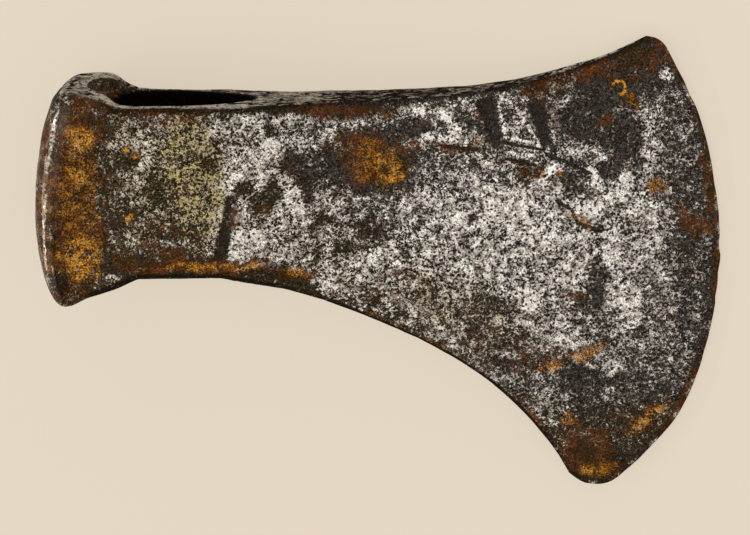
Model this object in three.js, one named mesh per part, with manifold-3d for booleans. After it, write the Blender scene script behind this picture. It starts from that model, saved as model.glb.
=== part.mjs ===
// Hand-forged iron axe head with a bearded blade, lying on one cheek. Millimetres, +Z up.
//
// The head is one forging. Its own frame runs x from the poll to the cutting edge, y up along the
// eye and z across the thickness, with the middle plane at z = 0. The mesh is then turned by the
// angle at which the loose head comes to rest: on the eye's shoulder and on the swell of the blade.
import * as THREE from "three";
import { mergeVertices } from "three/addons/utils/BufferGeometryUtils.js";
import Module from "manifold-3d";

// Overall sizes
const LENGTH = 174.5; // poll to the belly of the cutting edge
const EYE_TOP = 24.8; // upper rim of the eye, above the middle of the head
const EYE_SEAT = -20; // flat underside of the eye, where the haft's shoulder bears
const SEAT_END = 60; // how far along the length the underside is held down to the seat
const SEAT_FLAT = { from: 27, to: 44, dressed: 0.1 }; // the stretch that is dressed flat, and how deep
const TOE = [154.8, 41.6]; // upper tip of the cutting edge
const HEEL = [136.5, -74.2]; // lower tip, the point of the beard
const HEEL_HOLD = 2; // how strongly the heel's bend is kept out of the lower edge
const HEEL_HOLD_POWER = 8; // keeps that to the strip along the lower edge

// Thickness, as half sizes from the middle plane
const EYE_HALF = 15.5;
const WEDGE_HALF = 15; // what the blade's taper would reach at the poll
const WEDGE_POWER = 0.75; // below 1 swells the faces towards the cutting edge
const EDGE_HALF = 0.5; // the blunted cutting edge
const SHOULDER = [0.27, 0.42]; // where the eye block runs down into the blade, as shares of the length

// Poll: a battered back with a rolled lip and four lugs
const POLL_TOP = [5, 28.4];
const POLL_FOOT = [2.3, -23.6];
const POLL_CROWN = 1.2;
const LIP_HALF = 1.3; // how far the battered lip stands over the cheeks
const LIP_END = [0.042, 0.058]; // the crease behind the lip, as shares of the length
const LIP_FADE = [0.45, 0.9]; // the lip dies out up the poll, as shares of the height
const NEAR_LUG_DROP = 2.4; // the upper lug is beaten lower on the near cheek
const NEAR_LUG_AT = 0.075;
const NEAR_LUG_WIDTH = 0.06;
const NEAR_LUG_POWER = 3; // keeps the drop at the top of the cheek

// Rounding of the long edges and of the poll
const EDGE_RADIUS = 2.6;
const POLL_RADIUS = 4.5;
const POLL_ROUND_END = 0.09;
const THIN_RADIUS = 0.8; // the most of the half thickness that a rounding takes
const RUN = 165; // mean length from poll to cutting edge

// Eye: an oval with a narrower front, waisted inside and belled at both mouths
const EYE_MIDDLE = 35.8;
const EYE_HALF_LENGTH = 18.6;
const EYE_HALF_WIDTH = 9.8;
const EYE_FRONT_TAPER = 0.14;
const EYE_BELL = 0.13;
const EYE_BELL_POWER = 8;
const EYE_OVERRUN = 1.5; // the cutting plug's half height, as a share of the eye's
const REAR_FUNNEL = 3.5; // the upper mouth slopes back towards the poll
const FUNNEL_RISE = [0.7, 1.1]; // where that slope begins and ends, as shares of the eye's half height

// Shallow strokes on the near cheek: middle, length, width and lean from upright in degrees
const STROKE_DEPTH = 0.5;
const STROKES = [
  { at: [116.2, 19], length: 11.8, width: 4.4, lean: 13 },
  { at: [128.2, 19.8], length: 12.2, width: 4.2, lean: 14 },
  { at: [129.9, 11.1], length: 23.3, width: 0.9, lean: 70.5 },
  { at: [137.4, -4.1], length: 13, width: 1.3, lean: 53.7 },
  { at: [108.2, 13.4], length: 12.7, width: 0.9, lean: 79 },
  { at: [49.3, -5.1], length: 17, width: 2.6, lean: -16.8 },
];
const SETTLE_STEPS = 24; // steps that find the cheek over a point of the side view

// Where the far cheek meets the ground, as shares of the length and of the height
const REST = { shoulder: 0.298, blade: 0.849, height: 0.555 };
const REST_SINK = 0.25; // how much is worn flat there
const GROUND_SPAN = 3 * LENGTH;
const GROUND_DEPTH = 20;

// Faces along the length, up the cheek and across the thickness, and how closely they crowd the rims
const ROWS = { length: 48, height: 22, thickness: 8 };
const CROWDING = { length: 0.7, height: 0.75, thickness: 0.5 };
const EYE_ROWS = { around: 40, height: 14 };

const IRON = new THREE.MeshStandardMaterial({ color: 0x4a4540, roughness: 0.55, metalness: 0.85 });

const { lerp, smoothstep, clamp, degToRad } = THREE.MathUtils;

const curve = (points) => new THREE.SplineCurve(points.map(([x, y]) => new THREE.Vector2(x, y)));

// The head's outline as four curves, each through the points that its shape needs
const lowerEdge = curve([
  POLL_FOOT,
  [6.8, -27.6], // tip of the lower lug
  [12, -25.2],
  [19.5, -22.8],
  [26, EYE_SEAT + 0.1],
  [33, EYE_SEAT + 0.4],
  [41, EYE_SEAT + 0.4],
  [50, EYE_SEAT - 0.7],
  [76, -27.6],
  [103, -40.2],
  [118.5, -51.2],
  [130.5, -64.4],
  HEEL,
]);
const upperEdge = curve([
  POLL_TOP,
  [15.5, 29], // tip of the upper lug
  [24, 25.3],
  [50, EYE_TOP],
  [85, 26],
  [117, 29],
  [140, 35.2],
  TOE,
]);
const cuttingEdge = curve([
  HEEL,
  [142, -77],
  [150, -74.6],
  [165, -57.3],
  [172.8, -33.5],
  [LENGTH, -9],
  [170.4, 16],
  [163.6, 32],
  [158.8, 39.9],
  TOE,
]);
const pollBack = curve([POLL_FOOT, [0.2, -12], [0, 1], [1.4, 15], POLL_TOP]);

// The lower edge, held down to the flat seat under the eye
function lowerPoint(u) {
  const point = lowerEdge.getPointAt(u);
  if (point.x < SEAT_END) point.y = Math.min(point.y, EYE_SEAT);
  return point;
}

const heightAt = (u) => lowerPoint(u).distanceTo(upperEdge.getPointAt(u));

// How far a curve bends away at v from the straight line between its two ends
function bend(edge, v) {
  return edge.getPointAt(v).sub(edge.points[0].clone().lerp(edge.points.at(-1), v));
}

// A point of the side view: the patch that spans the four curves, u from the poll to the cutting
// edge and v from the lower to the upper edge. Near the lower edge the cutting edge's bend is carried
// in less far, so that the patch stays inside the outline.
function sidePoint(u, v) {
  const carried = u ** (1 + HEEL_HOLD * (1 - v) ** HEEL_HOLD_POWER);
  const across = lowerPoint(u).lerp(upperEdge.getPointAt(u), v);
  return across.addScaledVector(bend(pollBack, v), 1 - u).addScaledVector(bend(cuttingEdge, v), carried);
}

// Half the thickness: level at the eye, then a swelling wedge, with the battered lip at the poll.
function halfThickness(u, v) {
  const wedge = EDGE_HALF + WEDGE_HALF * Math.max(1 - u, 0) ** WEDGE_POWER;
  const plain = lerp(EYE_HALF, wedge, smoothstep(u, ...SHOULDER));
  const lip = LIP_HALF * (1 - smoothstep(u, ...LIP_END)) * (1 - smoothstep(v, ...LIP_FADE));
  return plain + lip;
}

// A point of the surface from a point of the unit box (u, v from 0 to 1, w from -1 to 1). Where two
// or three faces meet, the distances to them are drawn in so that the corner follows a radius.
function surfacePoint(u, v, w) {
  const thick = halfThickness(u, v);
  const height = heightAt(u);
  const wanted = lerp(POLL_RADIUS, EDGE_RADIUS, smoothstep(u, 0, POLL_ROUND_END));
  const radius = Math.min(wanted, THIN_RADIUS * thick);
  const depths = [u * RUN, Math.min(v, 1 - v) * height, (1 - Math.abs(w)) * thick];
  const shares = depths.map((depth) => clamp(1 - depth / radius, 0, 1));
  const norm = Math.max(Math.hypot(...shares), 1);
  const [fromPoll, fromRim, fromCheek] = depths.map((depth, i) =>
    shares[i] > 0 ? radius * (1 - shares[i] / norm) : depth,
  );
  const ru = fromPoll / RUN;
  const rv = v < 0.5 ? fromRim / height : 1 - fromRim / height;
  const rw = Math.sign(w) * (1 - fromCheek / thick);
  const { x, y } = sidePoint(ru, rv);
  const drop = NEAR_LUG_DROP * Math.exp(-(((ru - NEAR_LUG_AT) / NEAR_LUG_WIDTH) ** 2));
  const crown = POLL_CROWN * (1 - smoothstep(ru, 0, POLL_ROUND_END)) * (1 - rw * rw);
  const lowered = drop * rv ** NEAR_LUG_POWER * ((1 + rw) / 2);
  return new THREE.Vector3(x - crown, y - lowered, rw * halfThickness(ru, rv));
}

// Spacing of 0 to 1 that crowds towards both ends.
const crowd = (t, amount) => t - (amount * Math.sin(2 * Math.PI * t)) / (2 * Math.PI);

// The far cheek's two touching points give the angle of rest and the height of the ground.
const farCheek = (u) => new THREE.Vector3(...sidePoint(u, REST.height), -halfThickness(u, REST.height));
const shoulderTouch = farCheek(REST.shoulder);
const bladeTouch = farCheek(REST.blade);
const lyingTilt = Math.atan2(bladeTouch.z - shoulderTouch.z, bladeTouch.x - shoulderTouch.x);
const groundHeight = shoulderTouch.clone().applyEuler(new THREE.Euler(0, lyingTilt, 0)).z + REST_SINK;

// A box bent into the forged body
function bodyGeometry() {
  const box = new THREE.BoxGeometry(1, 1, 1, ROWS.length, ROWS.height, ROWS.thickness);
  const place = box.attributes.position;
  for (let i = 0; i < place.count; i++) {
    const u = crowd(place.getX(i) + 0.5, CROWDING.length);
    const v = crowd(place.getY(i) + 0.5, CROWDING.height);
    const w = 2 * crowd(place.getZ(i) + 0.5, CROWDING.thickness) - 1;
    place.setXYZ(i, ...surfacePoint(u, v, w));
  }
  return box;
}

// The ground that the head lies on, which wears two small flats on the far cheek
function groundGeometry() {
  const block = new THREE.BoxGeometry(GROUND_SPAN, GROUND_SPAN, GROUND_DEPTH);
  return block.translate(0, 0, groundHeight - GROUND_DEPTH / 2).rotateY(-lyingTilt);
}

// The block that dresses the underside of the eye flat
function seatGeometry() {
  const { from, to, dressed } = SEAT_FLAT;
  const depth = 2 * EYE_HALF;
  const block = new THREE.BoxGeometry(to - from, depth, 2 * depth);
  return block.translate((from + to) / 2, EYE_SEAT + dressed - depth / 2, 0);
}

// The plug that cuts the eye: an oval cylinder, waisted in the middle and belled at the mouths
function eyeGeometry() {
  const plug = new THREE.CylinderGeometry(1, 1, 2, EYE_ROWS.around, EYE_ROWS.height);
  const place = plug.attributes.position;
  const middle = (EYE_TOP + EYE_SEAT) / 2;
  const halfHeight = (EYE_TOP - EYE_SEAT) / 2;
  for (let i = 0; i < place.count; i++) {
    const level = place.getY(i) * EYE_OVERRUN;
    const bell = 1 + EYE_BELL * Math.min(Math.abs(level), 1) ** EYE_BELL_POWER;
    const front = place.getX(i);
    const funnel = REAR_FUNNEL * smoothstep(level, ...FUNNEL_RISE) * Math.max(-front, 0);
    const x = EYE_MIDDLE + EYE_HALF_LENGTH * bell * front - funnel;
    const z = EYE_HALF_WIDTH * bell * place.getZ(i) * (1 - EYE_FRONT_TAPER * front);
    place.setXYZ(i, x, middle + halfHeight * level, z);
  }
  return plug;
}

// The near cheek over a point of the side view: u and v are stepped until they meet that point.
function nearCheek(x, y) {
  let u = x / RUN;
  let v = 0.5;
  for (let step = 0; step < SETTLE_STEPS; step++) {
    const reached = sidePoint(u, v);
    u = clamp(u + (x - reached.x) / RUN, 0, 1);
    v = clamp(v + (y - reached.y) / heightAt(u), 0, 1);
  }
  return new THREE.Vector3(x, y, halfThickness(u, v));
}

// A shallow bar let into the near cheek, square to the face at the stroke's middle
function strokeGeometry({ at: [x, y], length, width, lean }) {
  const middle = nearCheek(x, y);
  const along = nearCheek(x + 1, y).sub(middle);
  const above = nearCheek(x, y + 1).sub(middle);
  const outward = along.cross(above).normalize();
  const bar = new THREE.BoxGeometry(width, length, 2 * STROKE_DEPTH);
  bar.rotateZ(degToRad(lean));
  bar.applyQuaternion(new THREE.Quaternion().setFromUnitVectors(new THREE.Vector3(0, 0, 1), outward));
  return bar.translate(...middle);
}

const wasm = await Module();
wasm.setup();

function toSolid(geometry) {
  const bare = new THREE.BufferGeometry().setIndex(geometry.index);
  bare.setAttribute("position", geometry.attributes.position);
  const merged = mergeVertices(bare, 1e-4);
  const vertProperties = merged.attributes.position.array;
  const triVerts = new Uint32Array(merged.index.array);
  return new wasm.Manifold(new wasm.Mesh({ numProp: 3, vertProperties, triVerts }));
}

function toGeometry(solid) {
  const { vertProperties, triVerts } = solid.getMesh();
  const geometry = new THREE.BufferGeometry();
  geometry.setAttribute("position", new THREE.BufferAttribute(vertProperties, 3));
  geometry.setIndex(new THREE.BufferAttribute(triVerts, 1));
  geometry.computeVertexNormals();
  return geometry;
}

const cuts = [eyeGeometry(), seatGeometry(), groundGeometry(), ...STROKES.map(strokeGeometry)];
const forging = cuts.reduce((solid, cut) => solid.subtract(toSolid(cut)), toSolid(bodyGeometry()));

const head = new THREE.Mesh(toGeometry(forging), IRON);
head.name = "axe_head";
head.rotation.y = lyingTilt;

// The origin is on the ground, under the middle of the lying head.
const axe = new THREE.Group().add(head);
const box = new THREE.Box3().setFromObject(axe, true);
const centre = box.getCenter(new THREE.Vector3());
head.position.set(-centre.x, -centre.y, -box.min.z);

export default axe;
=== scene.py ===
"""Hand-forged iron axe head, lying on one cheek: its forged surface, its finish and a plain stage.

The head's own frame, in millimetres, runs along from the poll to the cutting edge, up the haft eye
and across the thickness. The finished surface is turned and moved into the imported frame, in metres.
"""

from math import radians, tan

import bpy
import numpy as np
from bpy.props import FloatProperty, FloatVectorProperty, PointerProperty
from mathutils import Matrix, Vector


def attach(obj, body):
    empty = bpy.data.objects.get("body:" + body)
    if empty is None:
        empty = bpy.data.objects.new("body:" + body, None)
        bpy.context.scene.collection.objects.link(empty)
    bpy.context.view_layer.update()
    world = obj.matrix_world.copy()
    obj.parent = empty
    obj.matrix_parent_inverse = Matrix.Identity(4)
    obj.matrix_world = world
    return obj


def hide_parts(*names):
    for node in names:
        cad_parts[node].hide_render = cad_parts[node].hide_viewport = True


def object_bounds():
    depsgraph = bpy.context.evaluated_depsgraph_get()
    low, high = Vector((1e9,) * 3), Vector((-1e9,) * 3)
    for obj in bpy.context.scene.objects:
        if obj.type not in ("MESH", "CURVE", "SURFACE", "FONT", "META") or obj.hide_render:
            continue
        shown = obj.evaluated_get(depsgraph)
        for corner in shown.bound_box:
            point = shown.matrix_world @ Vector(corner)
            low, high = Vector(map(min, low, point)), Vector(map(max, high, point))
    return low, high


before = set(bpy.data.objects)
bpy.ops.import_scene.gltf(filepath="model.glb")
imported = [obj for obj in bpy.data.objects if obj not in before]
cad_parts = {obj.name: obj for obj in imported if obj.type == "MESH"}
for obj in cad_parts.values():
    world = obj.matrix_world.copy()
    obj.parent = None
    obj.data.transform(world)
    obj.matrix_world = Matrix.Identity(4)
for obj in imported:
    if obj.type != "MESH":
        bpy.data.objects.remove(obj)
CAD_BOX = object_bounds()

bl_info = {
    "name": "Forged axe head",
    "version": (1, 0, 0),
    "blender": (4, 5, 0),
    "location": "View3D > Sidebar > Axe head",
    "description": "Makes a hand-forged iron axe head with worn, rusted faces on a plain stage",
    "category": "Object",
}

NODE = "axe_head"
MM = 0.001

# Outline of the head in the side view, along and up, in millimetres
EYE_TOP = 24.8
EYE_SEAT = -20.0
SEAT_END = 60.0
BELLY = 174.5
TOE = (154.8, 41.6)
HEEL = (136.5, -74.2)
POLL_TOP = (5.0, 28.4)
POLL_FOOT = (2.3, -23.6)
LOWER_EDGE = (
    POLL_FOOT, (6.8, -27.6), (12, -25.2), (19.5, -22.8), (26, EYE_SEAT + 0.1), (33, EYE_SEAT + 0.4),
    (41, EYE_SEAT + 0.4), (50, EYE_SEAT - 0.7), (76, -27.6), (103, -40.2), (118.5, -51.2), (130.5, -64.4),
    HEEL,
)
UPPER_EDGE = (POLL_TOP, (15.5, 29), (24, 25.3), (50, EYE_TOP), (85, 26), (117, 29), (140, 35.2), TOE)
CUTTING_EDGE = (
    HEEL, (142, -77), (150, -74.6), (165, -57.3), (172.8, -33.5), (BELLY, -9), (170.4, 16), (163.6, 32),
    (158.8, 39.9), TOE,
)
POLL_BACK = (POLL_FOOT, (0.2, -12), (0, 1), (1.4, 15), POLL_TOP)
SPLINE_STEPS = 400

# How much less far the cutting edge's bend is carried in near the lower edge, and how near
HEEL_HOLD = 2
HEEL_HOLD_POWER = 8

# Thickness, lip, lugs and roundings, in millimetres or as shares of the length and height
SHOULDER = (0.27, 0.42)
LIP_END = (0.030, 0.046)
LIP_FADE = (0.45, 0.9)
NEAR_LUG_DROP = 2.4
NEAR_LUG_AT = 0.075
NEAR_LUG_WIDTH = 0.06
NEAR_LUG_POWER = 3
POLL_CROWN = 1.2
EDGE_RADIUS = 2.6
POLL_RADIUS = 4.5
POLL_ROUND_END = 0.09
THIN_RADIUS = 0.8
RUN = 165.0

# Haft eye, in millimetres or as shares of its size and height
EYE_MIDDLE = 35.8
EYE_FRONT_TAPER = 0.14
EYE_BELL = 0.13
EYE_BELL_POWER = 8
FRONT_TRIM = 0.9
REAR_FUNNEL = 3.5
FUNNEL_RISE = (0.7, 1.1)
MOUTH_RIM_START = 0.93

# Where the far cheek meets the ground, as shares, and how much is worn flat there
REST_SHOULDER = 0.298
REST_BLADE = 0.849
REST_HEIGHT = 0.555
REST_SINK = 0.25

# Rows of the surface along the length, up the cheek, across the thickness and down the eye, how much they
# crowd towards both ends, and the box shares of the eye's wall, the last of which marks it as inside
LENGTH_ROWS = 230
HEIGHT_ROWS = 130
ACROSS_ROWS = 28
EYE_ROWS = 60
LENGTH_CROWDING = 0.35
HEIGHT_CROWDING = 0.45
ACROSS_CROWDING = 0.45
EYE_CROWDING = 0.85
EYE_WALL_SHARES = (0.5, 0.5, 0.5, 1.0)
MOUTH_U = (0.075, 0.335)
MOUTH_MARGIN = 5

# Strokes let into the near cheek: along, up, length, width at the middle, lean from upright, depth share.
# Each is wider at its head than at its foot.
STROKES = (
    (115.6, 20.2, 13.0, 3.9, 16.0, 1.0),
    (128.2, 19.8, 12.8, 3.5, 16.0, 1.0),
    (124.0, 13.8, 11.0, 0.9, 76.0, 0.8),
    (135.3, 9.4, 13.0, 0.9, 64.0, 0.8),
    (137.4, -4.3, 13.4, 1.3, 54.0, 0.9),
    (107.5, 13.7, 10.0, 0.9, 84.0, 0.9),
    (48.3, -6.2, 17.5, 2.9, 170.0, 1.0),
)
STROKE_TAPER = 0.55
WIDE_STROKE = 2.0

# Painted patches of the near cheek: along, up, half length, half height, turn in degrees, share.
# Later patches cover earlier ones.
BRIGHT_BASE = 0.43
BRIGHT_PATCHES = (
    # Poll band and its lip
    (10, 2, 10, 32, 0, 0.14), (17.5, 2, 3.2, 20, 0, 0.27), (2.8, 1, 1.6, 22, 2, 0.06),
    (9.5, 15, 2.5, 3.5, 20, 0.36),
    # Eye cheek
    (23.5, 3.5, 7, 22, 0, 0.41), (26, 11, 5.5, 7, -20, 0.48), (22.5, 11, 4, 2.5, 0, 0.15),
    (22, -4, 6, 3.5, 0, 0.20), (17.5, 20, 2.5, 4, 0, 0.18), (39, 7.5, 10, 18, 0, 0.48),
    (31.5, 2, 4.2, 6.5, 10, 0.27), (34, -9, 8, 4.2, 0, 0.28), (18.5, 7, 2.6, 6, 0, 0.24),
    (30, -16, 19, 4, 0, 0.10), (60, -19.5, 14, 2.6, -8, 0.10), (45, 10, 2.6, 2, 0, 0.15),
    # Shoulder, with a bright vein that climbs to the right
    (57.5, 3.5, 12, 20, 0, 0.57), (46, -4, 1.8, 8, -14, 0.60), (47, 5, 2.8, 1.4, 40, 0.64),
    (50.5, 7.5, 3, 1.5, 27, 0.66), (55, 10, 3.6, 1.7, 35, 0.64), (59.5, 13.5, 3.2, 2.8, 40, 0.64),
    (61.5, 21, 3.2, 1.7, 0, 0.64), (52.5, 4.8, 2.8, 1.6, 0, 0.14), (56.5, -0.5, 3.2, 3.2, 0, 0.20),
    (60, 3, 2.8, 2.8, 0, 0.22), (60, 19, 1.6, 2.8, 10, 0.14), (50.8, -12.3, 2, 3.4, -15, 0.66),
    (56, -8.5, 4.8, 2.2, 0, 0.66), (61, -12, 8, 3.5, 0, 0.56),
    # Neck
    (75, -9, 11, 12, 0, 0.45), (66, 10, 4.8, 3.2, -10, 0.13), (69, 6.5, 3.2, 3.2, 0, 0.10),
    (68.3, 1, 3.2, 1.4, 0, 0.20), (72, -5, 2.8, 2.2, 0, 0.20), (66, -0.5, 2.2, 3.8, 0, 0.66),
    (69, -4.6, 1.5, 2, 0, 0.64), (74, -20.5, 3.8, 1.8, -12, 0.66), (75, 17.3, 2.2, 2, 0, 0.58),
    # Rust bloom and the red band above it
    (85, 10.5, 13, 9.5, 0, 0.06), (80.5, 20.8, 3.2, 1.8, 0, 0.58), (75, 24.5, 22, 2.2, 0, 0.08),
    # Middle of the head, with a bright arch under the top rim
    (92.5, -10, 12, 13, 0, 0.46), (94.5, 22.8, 3, 1.2, 5, 0.62), (99, 23, 3.4, 1.3, -3, 0.66),
    (103.5, 21, 2.8, 1.7, -40, 0.66), (105.3, 17.5, 2, 2.8, 0, 0.62), (102, 16, 4.5, 1.3, 0, 0.60),
    (96.7, 19, 4.6, 2.5, -10, 0.12), (109, 21, 3.6, 4.4, 0, 0.36), (84, -7, 5.2, 3.2, 0, 0.24),
    (80, -12, 4.2, 2.4, 0, 0.24), (100, 1, 3.6, 2.8, 0, 0.62), (87, -15, 7.5, 3.8, 0, 0.58),
    (81.5, -18.7, 4, 2.6, 0, 0.55), (101, -15, 4.2, 2.6, 0, 0.64), (100, -26, 16, 9, -20, 0.47),
    # Bright middle of the blade
    (120.5, -9, 25, 19, 0, 0.525), (123, -4, 15, 9, -8, 0.575), (141, -16, 13, 12, 0, 0.55),
    (110, -6, 4.2, 3.2, 0, 0.72), (112.3, -4.5, 1.6, 1.5, 0, 0.12), (142, -20.5, 3.6, 5, -10, 0.24),
    (141, -26, 5, 3, 25, 0.18), (148, -12.5, 4.8, 3.2, 0, 0.68), (154, -10.5, 6.5, 15, 0, 0.50),
    (134, -34, 10.5, 7.5, 0, 0.50), (151, -27, 4.2, 4.8, 0, 0.64), (150, -32.5, 4.2, 2.6, 0, 0.60),
    (125.3, -26.5, 4.2, 3.2, 0, 0.64), (125.4, -33.7, 2.2, 2, 0, 0.70), (134.5, -38, 3.8, 2.2, 0, 0.64),
    (115, -27.5, 5, 3, 0, 0.24), (113, -36, 5, 4, -20, 0.30), (118, -40, 12, 6, -35, 0.36),
    # Round the strokes
    (124.5, 8, 4.2, 2.6, 0, 0.30), (121.8, 20.5, 3.2, 6.5, 13, 0.50), (138, 20.4, 5, 6.5, 10, 0.14),
    (137, 13.2, 5.2, 2.4, -5, 0.60), (130.3, 7.8, 1.5, 1.9, 0, 0.98), (136, 4.4, 3.6, 2, -15, 0.18),
    (143, -2.4, 2.6, 2, 0, 0.18), (140, -2.4, 5.2, 2.8, 0, 0.72), (143, 6.7, 3, 3.4, 0, 0.68),
    (146, 7, 3.2, 2.6, 0, 0.16),
    # Toe and the dark band behind the cutting edge
    (144, 24.4, 3.8, 4.2, 0, 0.10), (149, 15.6, 7.2, 6, 0, 0.10), (151, 5.3, 3.4, 2.8, 0, 0.66),
    (148.3, 0.6, 3.2, 2.6, 0, 0.60), (154, -3, 3.4, 2.6, 0, 0.60), (160.5, 20, 6.3, 7, 20, 0.38),
    (156.5, 15, 2.8, 10.5, 0, 0.52), (149.5, 32, 15, 8, 20, 0.07), (160.0, 32.6, 3.4, 1.9, -30, 0.62),
    (170, -16, 7.5, 42, 4, 0.28), (165, 15.5, 2.6, 3.6, 0, 0.42), (168, -34, 3.6, 4.2, 0, 0.34),
    # Heel
    (150, -63, 21, 16, 20, 0.24), (147, -49.5, 11, 5, 15, 0.28), (148.3, -44.7, 2.4, 2.4, 0, 0.60),
    (146, -52.4, 3.4, 3.4, 0, 0.44), (138.5, -46.8, 6, 3.2, 0, 0.13), (160.4, -59.6, 1.8, 1.8, 0, 0.48),
    (144.5, -71, 12, 6, 0, 0.05),
)
RUST_BASE = 0.15
RUST_PATCHES = (
    # Poll, eye cheek and the rim under them
    (11, 0, 9.5, 32, 0, 0.69), (18.5, 2, 3, 24, 0, 0.40), (2.5, 0, 3.2, 26, 0, 0.60),
    (24, 3.5, 6.5, 22, 0, 0.24), (30, -13, 17, 3.6, 0, 0.48), (34, -16, 19, 2.2, 0, 0.66),
    (33, -7, 9, 5, 0, 0.34), (32, 22.3, 18, 2.8, 0, 0.46), (23.2, 13.4, 1.1, 1, 0, 0.8),
    (25.4, 12.4, 1.2, 1.2, 0, 0.8), (23.9, -3.7, 1.5, 1, 0, 0.8), (51.5, -16.0, 18, 1.8, -2, 0.72),
    (64.5, -18.2, 8, 2.0, -12, 0.72), (51, -3, 1, 4.5, -14, 0.70), (45, 10, 2.6, 2, 0, 0.45),
    (57, -2, 3, 2.6, 0, 0.40), (87, -24.5, 12, 2.2, -22, 0.62),
    # Bloom, red band and grooves
    (83.5, 11.5, 7.5, 7, 10, 0.66), (89, 8.5, 7.5, 6, -25, 0.70), (94.5, 14, 4.5, 3, 10, 0.45),
    (78.5, 16, 6.5, 5, 0, 0.45), (77, 23.4, 18, 2.4, 0, 0.66), (106.5, 14, 6, 1.5, -6, 0.72),
    (113, 14.8, 1.7, 2.4, 0, 0.72), (114, 24.2, 2.6, 2.2, 0, 0.5), (124.5, 8, 4.6, 3.2, 0, 0.74),
    (132, 2.7, 3.2, 2, -20, 0.42), (137, -4, 6.8, 1.4, -36, 0.74), (129, 25, 2.6, 4.6, 13, 0.45),
    (132.2, 19.2, 1.2, 1.3, 0, 0.80), (128.4, 7.6, 1, 1.8, 0, 0.8), (132.4, 5.8, 1.4, 1.1, 0, 0.8),
    # Top rim, toe and cutting edge
    (135.5, 31.5, 15, 2.4, 16, 0.72), (152, 35.7, 10, 5.5, 28, 0.55), (151.2, 25.3, 1.7, 3.7, 24, 0.72),
    (144.7, 20.3, 2, 1.6, 0, 0.78), (157.5, 3.4, 3.2, 2.8, -8, 0.80), (165, -4.5, 3.2, 3.4, -25, 0.66),
    (168.5, -8, 3.4, 4.2, 20, 0.68), (171.5, 5, 2, 12, 6, 0.70),
    # Lower blade and heel
    (98, -25, 17, 6, -24, 0.33), (118, -39, 12, 6.5, -38, 0.34), (125.5, -36.5, 4.5, 2.4, 0, 0.52),
    (131, -42, 10, 4.6, 16, 0.40), (128, -41, 4.5, 3.4, 0, 0.58), (131, -44.8, 3.6, 1.9, 18, 0.68),
    (140, -41, 5, 2.2, 28, 0.66), (144.3, -38.7, 1.4, 3, 0, 0.72), (137, -24, 2.6, 1.4, -20, 0.72),
    (136.6, -58.5, 3.2, 2.2, 0, 0.66), (140, -67, 10, 8, 0, 0.54), (153.5, -62, 5, 4.5, 40, 0.48),
    (157, -59, 8.5, 2.8, 42, 0.66), (144.5, -73, 6, 2.4, 5, 0.72),
)
GOLD_PATCHES = (
    # Poll
    (3.2, 0, 2.2, 24, 0, 0.20), (10.4, 0, 6, 26, 0, 0.20), (11.6, 16.5, 3.8, 3.8, 20, 0.72),
    (10.4, 8, 3.2, 3.2, 0, 0.58), (7.8, 0, 1.1, 8, 0, 0.50), (11.2, -14.5, 5.8, 6.5, 10, 0.70),
    (10.5, -17, 2.4, 3, 0, 0.88), (14.5, -10, 2.4, 2, 0, 0.35), (10.5, -2.5, 2.2, 2.6, 0, 0.30),
    # Eye cheek
    (23.2, 13.4, 0.9, 0.9, 0, 1.1), (25.4, 12.4, 1.0, 1.1, 0, 1.1), (23.9, -3.7, 1.3, 0.8, 0, 1.1),
    # Lower rim
    (40, -16.2, 10, 1.3, 0, 0.48), (52, -16.2, 5, 1.2, 0, 0.56), (66, -18.4, 3.6, 1.4, -14, 0.58),
    # Bloom
    (86, 10.5, 8.5, 6.5, -25, 0.32), (89.5, 8, 4.4, 3.4, -35, 0.58), (91.5, 6.5, 2, 1.6, -35, 0.75),
    # Blade and heel
    (113, 14.8, 1.4, 2, 0, 0.42), (128.4, 7.6, 0.9, 1.6, 0, 0.62), (132.4, 5.8, 1.3, 1, 0, 0.72),
    (137, -4, 6.8, 1.2, -36, 0.42), (157.5, 3.4, 2.8, 2.4, 0, 0.45), (151.2, 25.3, 1.5, 3.2, 24, 0.36),
    (140, -41, 4.6, 1.5, 28, 0.72), (131, -44.8, 3.2, 1.4, 18, 0.66), (144.3, -38.7, 1.2, 2.6, 0, 0.42),
    (136.6, -58.5, 2.6, 1.6, 0, 0.50), (157, -58.8, 8, 1.6, 42, 0.70), (162, -51.6, 2, 2.2, 20, 0.72),
    (144.5, -72.8, 5.6, 2.1, 5, 0.32), (141.5, -72.6, 1.8, 1.3, 0, 0.55),
)
KHAKI_PATCHES = (
    (24, 4, 9, 22, 0, 0.42), (40, 7, 9.5, 20, 8, 1.1), (2.8, 1, 2.4, 24, 2, 0.55),
    (108, -28, 17, 9, -25, 0.42),
)

# Fine lines drawn on the near cheek: from along and up, to along and up, half width. The last two dark lines
# are a painted shadow in the crease behind the poll's lip.
DARK_LINES = (
    ((119.0, 15.0), (128.9, 12.6), 0.42), ((129.5, 12.2), (141.0, 6.6), 0.45),
    ((119.5, 10.8), (127.0, 9.4), 0.45), ((102.8, 14.2), (112.2, 13.2), 0.5),
    ((132.4, -0.2), (136.4, -2.6), 0.5), ((136.4, -2.6), (138.4, -6.4), 0.5),
    ((138.4, -6.4), (143.2, -8.4), 0.5), ((4.6, 2.5), (6.3, -11.0), 0.5),
    ((6.3, -11.0), (6.9, -21.5), 0.6),
)
BRIGHT_LINES = (
    ((117.6, 25.2), (119.4, 16.4), 0.4), ((121.0, 25.0), (127.6, 14.9), 0.4),
    ((130.9, 20.0), (131.7, 14.6), 0.42), ((119.5, 12.6), (126.0, 11.3), 0.5),
    ((119.6, 16.2), (127.4, 14.6), 0.4), ((51.8, -8.0), (49.8, -15.0), 0.7),
    ((103.0, 12.6), (109.0, 12.0), 0.4),
)

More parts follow.
